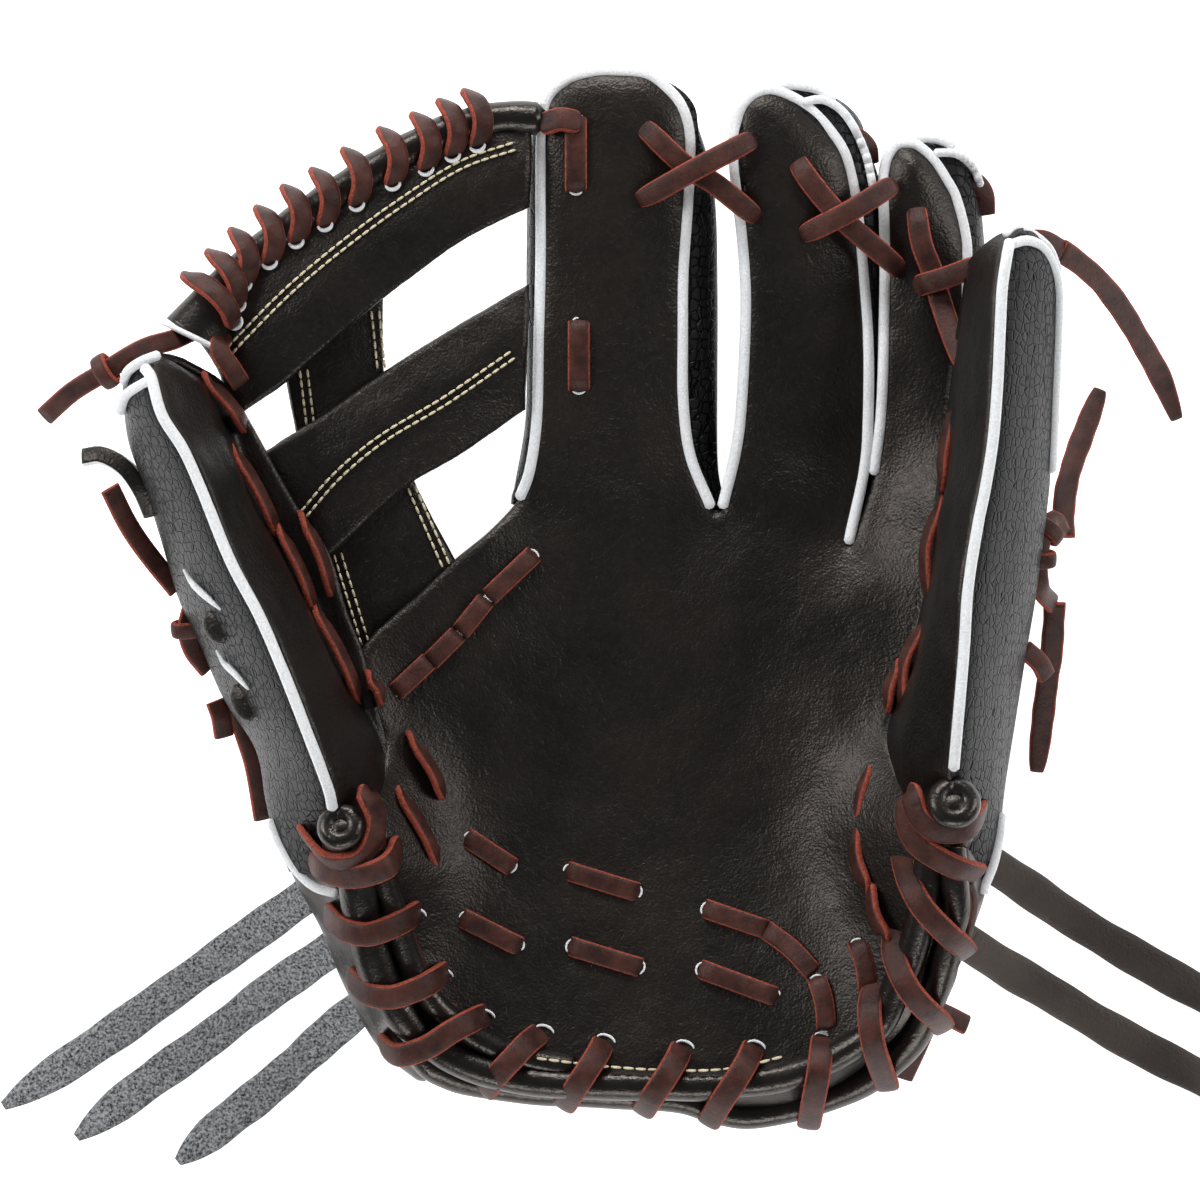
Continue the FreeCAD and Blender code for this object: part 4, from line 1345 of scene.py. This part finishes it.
# Each knob's centre, the way its hollow faces and its radius.
KNOBS = [((-71.2, -62.2, 80.5), (-0.1, 0.3, 0.95), 6.4), ((97.0, -55.6, 84.0), (0.05, 0.3, 0.95), 7.2)]
GUSSET_FRONT = [
    (-36, -130, 49.5), (4.5, -135.4, 48.5), (45, -134.3, 48.5), (67, -126.3, 51.5), (82.2, -108.3, 58.5),
    (88.8, -87.9, 66),
]
GUSSET_BACK = [
    (-33.8, -135.6, 40), (5.6, -139, 36), (41.7, -144.4, 36), (66.9, -138.5, 40), (91.9, -111.9, 57),
    (97.5, -86, 67),
]
HEEL_HOLES = [
    (-51.2, -87.1), (-43.8, -104.3), (-32.2, -115.8), (-15.7, -120.1), (1.4, -122.7), (23.5, -124.4),
    (43.4, -124.4), (62.1, -122),
]
HEEL_LOOPS = [
    [
        (-63.7, -53.5, 80), (-61.3, -59.9, 79), (-63, -67.4, 78.5), (-67.1, -71.5, 78), (-75, -71.7, 75),
        (-81.6, -65.3, 66),
    ],
    [
        (-56, -68.5, 62), (-57.7, -72.6, 72), (-62.8, -75.2, 75.5), (-69.7, -76.4, 74),
        (-77.2, -74.5, 68), (-80, -72, 60),
    ],
    [
        (-50.7, -86.9, 50), (-53, -88.2, 58), (-57.8, -90.5, 66), (-64.6, -92.5, 69.5), (-71.5, -91, 65),
        (-75.6, -87.7, 56),
    ],
    [
        (-43.4, -104.1, 47), (-46, -105.6, 54), (-50.4, -107.8, 60.5), (-57.9, -110.2, 63.5),
        (-64.8, -109.3, 60), (-69.2, -106, 52),
    ],
    [
        (-31.7, -115.9, 42), (-35.5, -117, 50), (-41.2, -119.9, 56.5), (-48.3, -124.4, 59),
        (-56.3, -126.9, 55), (-60.7, -124.7, 46),
    ],
    [
        (-15, -120, 41), (-17.5, -121.6, 48.5), (-20.5, -123.7, 54), (-24.2, -127.5, 56.6),
        (-28.7, -132.5, 54), (-32.1, -137.4, 45),
    ],
    [
        (1.6, -122.5, 41), (0.5, -124.5, 49), (-0.8, -126.8, 54), (-3.9, -131.4, 56.6), (-7.2, -136.7, 54),
        (-10, -141.6, 44),
    ],
    [
        (23.6, -123.9, 41), (22.4, -126, 49), (21.2, -128.2, 54), (18.1, -133.1, 56.8), (14.5, -138.6, 54),
        (12, -143.2, 44),
    ],
    [
        (43.5, -123.9, 42), (42.4, -125.8, 49.5), (41.2, -128.1, 54.2), (38.1, -133.1, 57),
        (34, -139.6, 54), (30.6, -146.1, 44),
    ],
    [
        (62.9, -120.4, 44), (62.2, -122.6, 51), (61.5, -126.3, 56), (60.6, -132.5, 58), (59.4, -140.3, 52),
        (58.6, -147.2, 41),
    ],
    [
        (77.6, -106.2, 52), (75.2, -110.2, 60), (74.6, -115.2, 64.5), (75.6, -122.8, 64.5),
        (77.8, -129.6, 58), (80.4, -136.1, 47),
    ],
    [
        (85.4, -53.4, 78), (87.3, -59.3, 82), (91.9, -63.2, 83.2), (98.2, -63.7, 82.4), (102.8, -62.1, 79),
        (105.6, -58.8, 70),
    ],
    [
        (84.3, -54.8, 76), (84.1, -60.5, 79), (86.9, -66.8, 79.5), (93.4, -71.4, 80.5), (99.6, -74.3, 77.5),
        (104.3, -75.7, 68),
    ],
    [
        (83.4, -70.3, 60), (85.2, -77.8, 73), (88.9, -84.8, 76.2), (95.1, -91.5, 74.5), (99.7, -95.6, 68),
        (102.1, -98.2, 58),
    ],
    [
        (81.4, -91.4, 56), (81.3, -98.4, 66), (84.5, -106.3, 70), (89.4, -112.6, 67.5), (93.8, -116.6, 60),
        (96.1, -119.6, 50),
    ],
]
UNDER_RUNS = [
    [(-63.3, -55, 78), (-61.4, -61.7, 76), (-60.2, -68.2, 71)],
    [(-58.9, -75.2, 69), (-57.3, -79.7, 67), (-55.7, -84.3, 64)],
    [(-52.7, -92.4, 62), (-50.9, -97.5, 60), (-49, -102.9, 58)],
    [(-46.5, -109.7, 57), (-43.7, -112.3, 55), (-40.4, -114.4, 53)],
    [(101.9, -78.1, 68), (103.4, -83.1, 66), (102.7, -90.2, 63), (101.5, -94.5, 60)],
    [(98.6, -98.6, 62), (97.9, -104.3, 59), (95.9, -110.1, 56)],
]


def knob(centre, toward, radius):
    """The ring round the hollow rolled end of a heel roll."""
    turn = np.linspace(0, 2 * math.pi, 33)
    toward = unit(np.asarray(toward, float))
    side = unit(np.cross(toward, (1.0, 0.2, 0.1)))
    other = np.cross(toward, side)
    ring = np.asarray(centre) + (np.outer(np.cos(turn), side) + np.outer(np.sin(turn), other)) * radius * 0.62
    return tube(ring, radius * 0.42, sides=12, up=toward, rounded=False)


def pinched(line, radius):
    """A roll's radius along its line, drawn in where the heel loops cross it."""
    size = np.full(len(line), float(radius))
    for loop in HEEL_LOOPS:
        gap = np.linalg.norm(line[:, :2] - np.array(loop[3][:2]), axis=1)
        size *= 1 - 0.1 * np.exp(-((gap / 5.0) ** 2))
    swell = np.array([noise.noise(Vector(p / 14.0)) for p in line])
    return size * (1 + 0.05 * swell)


def heel_rolls():
    """The palm's rolled edge with its two knobs and gusset, and the lining's rolled edge behind it."""
    front = smooth(ROLL_FRONT, 240)
    inner = smooth(ROLL_INNER, 120)
    wide = 4.3 + 1.5 * np.clip((-52 - front[:, 0]) / 8.0, 0, 1)
    parts = [tube(front, pinched(front, 1.0) * wide, sides=22), tube(inner, pinched(inner, 3.6), sides=16)]
    for place, toward, radius in KNOBS:
        parts.append(knob(place, toward, radius))
        below = np.linspace(np.array(place) - (0, 9, 13), np.array(place) - (0, 0.4, 1.2), 16)
        parts.append(tube(below, radius * 0.86, sides=20))
    parts.append(thick_sheet(surface([GUSSET_FRONT, GUSSET_BACK], 60, 10), 1.6))
    made("heel_front_roll", parts, "roll", "root", "heel_roll_front")
    back = smooth(ROLL_BACK, 240)
    made("heel_back_roll", tube(back, pinched(back, 4.3), sides=20), "roll", "root", "heel_roll_back")


def heel_loops():
    """The lace that spirals round both rolls, and its short runs below them."""
    runs = []
    for loop in HEEL_LOOPS:
        first, last = np.array(loop[0], float), np.array(loop[-1], float)
        outward = unit(last - np.array(loop[-2], float)) * (1, 1, 0)
        over = [np.array(point, float) for point in loop[1:]]
        crosses_inner_roll = -64 < loop[0][0] < -30 and loop[0][1] < -60
        if crosses_inner_roll:
            over[0] += (0, 0, 6)
            over[1] += (0, 0, 3)
        path = [first - (0, 0, 2), first + (0, 0, 3)] + over + [last + outward * 0.4 - (0, 0, 7)]
        runs.append(draped(path, 0.5 * (first + last) - (0, 0, 7), wide=6.8, count=34))
    for points in UNDER_RUNS:
        runs.append(lace(smooth(points, 14), unit(np.array((0.7, 0, 0.7))), wide=3.0, thick=1.6))
    lace_piece("heel_loops", runs, "root", "heel_lace")


def heel_thread():
    """The row of stitches along the heel's rolled edge."""
    edge = smooth([(x, y, 53.8) for x, y in HEEL_SEAM], 60)
    made("heel_thread", thread(edge, 3.4, 0.4), "thread", "root")


# ---------------------------------------------------------------- the web

TOP_BAR = [
    [
        (-19, 131, 60), (-33, 131, 60), (-47, 126.5, 60), (-62, 118, 60), (-80, 106, 60), (-94, 95, 60),
        (-107, 83, 59), (-113, 74, 58),
    ],
    [
        (-19, 119, 62), (-37, 115, 62), (-50, 107.5, 62), (-66, 96, 62), (-82, 83, 62), (-95, 72, 60),
        (-106, 62, 56),
    ],
    [
        (-19.3, 108.9, 59.5), (-37.2, 100.3, 60), (-50, 91.2, 60), (-60.5, 83.3, 60), (-75, 71, 60),
        (-87.8, 60, 58), (-98.9, 52.5, 55), (-104, 48, 53),
    ],
]
LOWER_BAR = [
    [
        (-20, 88.5, 50), (-40, 76.8, 51), (-60.5, 63.9, 52), (-78.6, 51, 53), (-90, 43.5, 52.5),
        (-99, 38, 50),
    ],
    [(-20, 71, 52), (-42, 58, 53), (-60, 47, 54), (-74, 36, 53), (-90, 23, 48.5)],
    [
        (-20.5, 52.9, 45.5), (-39.4, 40, 48), (-51.7, 33, 50), (-63, 23.5, 50), (-74.5, 13.1, 48),
        (-84, 6, 46),
    ],
]
POST = [
    [
        (-88.8, 66, 50), (-85.2, 46.8, 48), (-82, 30, 46), (-79.5, 13.1, 44), (-71, -12.6, 40),
        (-67, -20, 39),
    ],
    [(-75, 75, 51), (-72, 53, 49.5), (-68, 40, 48), (-63, 23, 46.5), (-54, 0, 42), (-50, -8, 40)],
    [(-60.4, 87, 50), (-60.2, 63.8, 48.5), (-56, 48, 47), (-51.7, 33, 46), (-40.6, 11.5, 42), (-36, 3, 40)],
]
# The web's double rows of stitches, each on one of its panels.
TOP_SEAM = [
    (-23.6, 126), (-38.6, 120.7), (-54.1, 111), (-69.7, 99.7), (-85.2, 86.9), (-98, 74.4), (-104.9, 67.2),
]
WEB_SEAMS = [
    ("web_top_bar", TOP_SEAM),
    ("web_lower_bar", [(-24.2, 68.5), (-42.9, 55.7), (-60.5, 45.1), (-73.3, 34.6), (-83, 23.7)]),
    ("web_post", [(-82.8, 64.4), (-80.9, 48.8)]),
    ("web_post", [(-62.8, 80.9), (-61.1, 64.5)]),
    ("web_post", [(-73.6, 13.2), (-65.8, -12.6)]),
    ("web_post", [(-52.9, 31.9), (-43.1, 9.5)]),
]
WEB_ROLL = [
    (-17.5, 133.9, 58), (-28.4, 134, 58), (-42.9, 130.2, 58), (-58.9, 122.1, 58), (-78.1, 109.8, 58),
    (-91.6, 99.4, 58), (-103.6, 88.3, 58), (-112.6, 76.2, 58),
]

WEB_SLEEVE = [(-101, 90.0, 58.5), (-107, 82.0, 59.5), (-113.4, 73.2, 60)]
# Where each wrap of lace starts behind the roll, and the offsets it follows from there.
WRAP_STARTS = [
    (-37.5, 139), (-44.4, 136.3), (-51.8, 132.5), (-61, 128.4), (-71, 122.7), (-79.8, 117.1),
    (-87.8, 112.4), (-95.2, 106.6), (-102.3, 100.4), (-108.2, 94.5), (-114.2, 88.4),
]
WRAP_SHAPE = [
    (1.2, 1, 52.5), (1.6, 1.8, 57.5), (2.6, 0.4, 62), (4.3, -2.4, 64.6), (5.2, -5.8, 65),
    (5, -9, 63.8), (4.1, -11.6, 61.8), (3.2, -13.2, 59),
]
# How far the last wraps lean and how much wider they reach; all the earlier ones are like the first entry.
FAN = [(0.0, 1.0), (0.3, 1.08), (0.68, 1.12)]


def double_rows(points, spacing):
    """Two rows of stitches side by side along a line."""
    line = smooth([(x, y, 0) for x, y in points], 60)
    side = unit(np.cross(tangents(line), UP))
    return line + side * spacing / 2, line - side * spacing / 2


def web_panels():
    """The web's two bars and its post, with their rows of stitches."""
    grids = {}
    for name, rails, thick, node in (
        ("web_top_panel", TOP_BAR, 4.0, "web_top_bar"),
        ("web_lower_panel", LOWER_BAR, 4.0, "web_lower_bar"),
        ("web_post_panel", POST, 3.2, "web_post"),
    ):
        grid = surface(rails, 90, 40)
        grid[..., 2] += creases(grid, 12.0, 4) * 0.35
        grids[node] = grid
        made(name, thick_sheet(grid, thick), "smooth", "root", node)
    stitches = []
    for node, points in WEB_SEAMS:
        for row in double_rows(points, 2.1):
            stitches += thread(surface_line(grids[node], row, 0.1), 2.6, 0.36)
    made("web_thread", stitches, "thread", "root")


def web_roll():
    """The web's rolled top edge, and the sleeve with a pale lip at its thumb end."""
    line = smooth(WEB_ROLL, 160)
    roll = tube(line, 4.6 + 0.15 * np.sin(np.linspace(0, 60, 160)), sides=20)
    made("web_rolled_edge", roll, "roll", "root", "web_top_roll")
    sleeve = smooth(WEB_SLEEVE, 20)
    cover = tube(sleeve, np.linspace(5.6, 8.7, 20), sides=28, flatten=0.66, rounded=False)
    made("web_roll_sleeve", cover, "roll", "root")
    along = unit(sleeve[-1] - sleeve[-2])
    across = unit(np.cross(along, UP))
    turn = np.linspace(-0.3, math.pi + 0.3, 30)
    lip = sleeve[-1] + np.outer(np.cos(turn), across * 8.9 + along * 1.6) + np.outer(np.sin(turn), UP * 5.9)
    made("web_roll_sleeve_edge", tube(lip, 0.8, sides=10), "welt", "root")


def web_wraps():
    """The lace wrapped round the web's rolled edge; the last wraps lean and fan out at the thumb."""
    runs = []
    rims = []
    for order, (x, y) in enumerate(WRAP_STARTS):
        late = max(0, order - len(WRAP_STARTS) + len(FAN))
        lean, grow = FAN[late]
        path = []
        for dx, dy, z in WRAP_SHAPE:
            path.append((x + dx * grow - lean * dy, y + dy * grow * (1 - 0.3 * lean), z + 1.5 * late))
        runs.append(draped(path, (x - 1.5, y - 4.0, 52.0), wide=6.0))
        end = (path[-1][0] + 0.2, path[-1][1] + 0.6, 62.0)
        rims.append(rim(end, (0.25 + lean, -1.0), wide=4.2, deep=1.9, radius=0.6))
    lace_piece("web_wrap_loops", runs, "root", "web_wrap_lace")
    made("web_hole_rims", rims, "welt", "root")


# ---------------------------------------------------------------- back of the hand and wrist

LEFT_WALL = [
    [
        (-69.5, -60, 68), (-68.5, -75, 64), (-64, -98, 57), (-58, -115, 53), (-48, -126, 48),
        (-38, -131.5, 44),
    ],
    [
        (-77, -62, 54), (-75.5, -78, 50), (-71.5, -94, 46), (-65.5, -109, 42), (-56.5, -125, 38),
        (-46, -133, 35),
    ],
    [
        (-89, -64, 42), (-83.5, -78, 38), (-76, -92, 34), (-70, -107, 31), (-61, -123, 29.5),
        (-49, -133.5, 28.5),
    ],
    [(-80, -62, 12), (-74, -78, 10), (-67, -92, 9), (-58, -104, 10), (-50, -112, 12), (-42, -117, 14)],
    [(-62, -60, 4), (-58, -75, 3.5), (-52, -88, 3.5), (-46, -98, 4), (-38, -107, 5), (-30, -112, 6)],
]
RIGHT_WALL = [
    [(99, -66, 68), (99.5, -82, 66), (98, -96, 60), (93, -112, 55), (86, -124, 48), (78, -131, 43)],
    [(104, -69, 57), (104, -82, 54), (101, -94, 48), (95.5, -108, 43), (88, -121, 38), (80, -129, 35)],
    [(107.5, -66, 42), (105.5, -80, 38), (101, -92, 33), (94.5, -105, 28), (87, -115, 26), (79, -121, 26)],
    [(102, -62, 14), (100, -78, 11), (95, -90, 9), (88, -102, 9), (81, -110, 10), (74, -116, 12)],
    [(88, -60, 4), (86, -75, 3.5), (82, -88, 3.5), (76, -98, 4), (70, -107, 5), (62, -112, 6)],
]
BACK_OUTLINE = [
    (-70, -56), (-46, -62), (0, -63), (60, -62), (92, -56), (98, -30), (96, 0), (92, 28), (80, 46),
    (46, 48), (40.5, 45), (35.5, 24), (30.5, 45), (22, 48), (0, 48), (-18, 40), (-26, 20), (-48, 0),
    (-74, -30),
]
BAND_OUTLINE = [
    (-70, -80), (-58, -72), (0, -70), (66, -72), (96, -78), (92, -96), (76, -112), (40, -117), (0, -117),
    (-36, -115), (-58, -104),
]


def back_height(x, y):
    """The underside: flat in the middle, lifting towards both sides."""
    across = np.clip(np.abs(np.asarray(x) - 12) / 88.0, 0, 1)
    return 0.6 + 9.0 * across**3.2 + 2.5 * np.clip((np.asarray(y) + 10) / 60.0, 0, 1) ** 2


def back_layer(name, outline, above, thick, look, node):
    """One flat layer of the back, a height above the underside."""

    def top(x, y):
        return back_height(x, y) + above + thick

    def bottom(x, y):
        return np.maximum(back_height(x, y) + above, 0.05)

    sheet = outline_sheet(flat_outline(outline, 500), top, bottom, 2.0, 0.8)
    made(name, sheet, look, "root", node)


def back():
    """The side walls at the wrist, the back of the hand and the wrist band, with their linings."""
    walls = [thick_sheet(surface(rails, 60, 48), 2.4) for rails in (LEFT_WALL, RIGHT_WALL)]
    made("wrist_side_leather", walls, "roll", "root")
    hand_lining = [(x * 0.92 + 1, y * 0.92) for x, y in BACK_OUTLINE]
    band_lining = [(x * 0.93, y * 0.93 - 6) for x, y in BAND_OUTLINE]
    back_layer("back_hand_leather", BACK_OUTLINE, 0.0, 3.0, "pebble", "back_panel")
    back_layer("back_hand_lining", hand_lining, 3.3, 1.5, "lining", "back_lining")
    back_layer("wrist_band", BAND_OUTLINE, -0.2, 3.6, "smooth", "wrist_strap")
    back_layer("wrist_band_lining", band_lining, 3.7, 2.4, "felt", "wrist_strap_lining")


# ---------------------------------------------------------------- light and floor


# Each lamp's name, place and size in metres, and its watts.
LAMPS = [
    ("left", (-1.25, 0.45, 0.85), (0.5, 0.9), 13.0),
    ("top", (-0.1, 1.35, 0.75), (1.2, 0.3), 19.0),
    ("right", (1.3, 0.3, 0.8), (0.35, 0.9), 8.0),
    ("heel", (0.1, -1.3, 0.7), (1.2, 0.3), 9.0),
]


def area_light(name, place, size, power):
    """A rectangular lamp pointing at the glove."""
    data = bpy.data.lights.new(name, "AREA")
    data.shape = "RECTANGLE"
    data.size, data.size_y = size
    data.energy = power
    lamp = bpy.data.objects.new(name, data)
    lamp.location = place
    lamp.rotation_euler = (-Vector(place)).to_track_quat("-Z", "Y").to_euler()
    scene.collection.objects.link(lamp)


def studio():
    """Four soft lamps round the glove and a pale floor."""
    world = bpy.data.worlds.new("studio")
    world.use_nodes = True
    sky = world.node_tree.nodes["Background"]
    sky.inputs["Color"].default_value = (1, 1, 1, 1)
    sky.inputs["Strength"].default_value = 0.1
    scene.world = world
    for lamp in LAMPS:
        area_light(*lamp)
    scene.view_settings.view_transform = "Standard"
    scene.view_settings.look = "None"
    material, _, _, base = shader("floor", 0.9, 0.1)
    base.inputs["Base Color"].default_value = (0.9, 0.9, 0.9, 1)
    base.inputs["Emission Color"].default_value = (1, 1, 1, 1)
    base.inputs["Emission Strength"].default_value = 0.95
    mesh = bpy.data.meshes.new("floor")
    mesh.from_pydata([(-3, -3, 0), (3, -3, 0), (3, 3, 0), (-3, 3, 0)], [], [(0, 1, 2, 3)])
    mesh.materials.append(material)
    floor = bpy.data.objects.new("floor", mesh)
    scene.collection.objects.link(floor)


# ---------------------------------------------------------------- the glove

make_camera()
all_loose()
strap_roots()
studio()
make_palm()
for stall_name, stall_rails in STALLS.items():
    stall(stall_name, stall_rails)
welts()
thumb_loops, thumb_bend = flap("thumb", "thumb", THUMB)
_, little_bend = flap("little", "little_finger", LITTLE)
folding_welts("thumb", thumb_bend, THUMB_WELTS)
folding_welts("little", little_bend, LITTLE_WELTS)
crease_laces("thumb", THUMB_STITCHES, -1, thumb_bend)
crease_laces("little", LITTLE_STITCHES, 1, little_bend)
thumb_details(thumb_loops, thumb_bend)
lace_ends("thumb", THUMB_ENDS, thumb_bend)
lace_ends("little", LITTLE_ENDS, little_bend)
lace_ends("fixed", ROOT_ENDS, "root")
thumb_leather_end(thumb_bend)
palm_laces()
tip_laces()
palm_hole_rims()
heel_rolls()
heel_loops()
heel_thread()
web_panels()
web_roll()
web_wraps()
back()
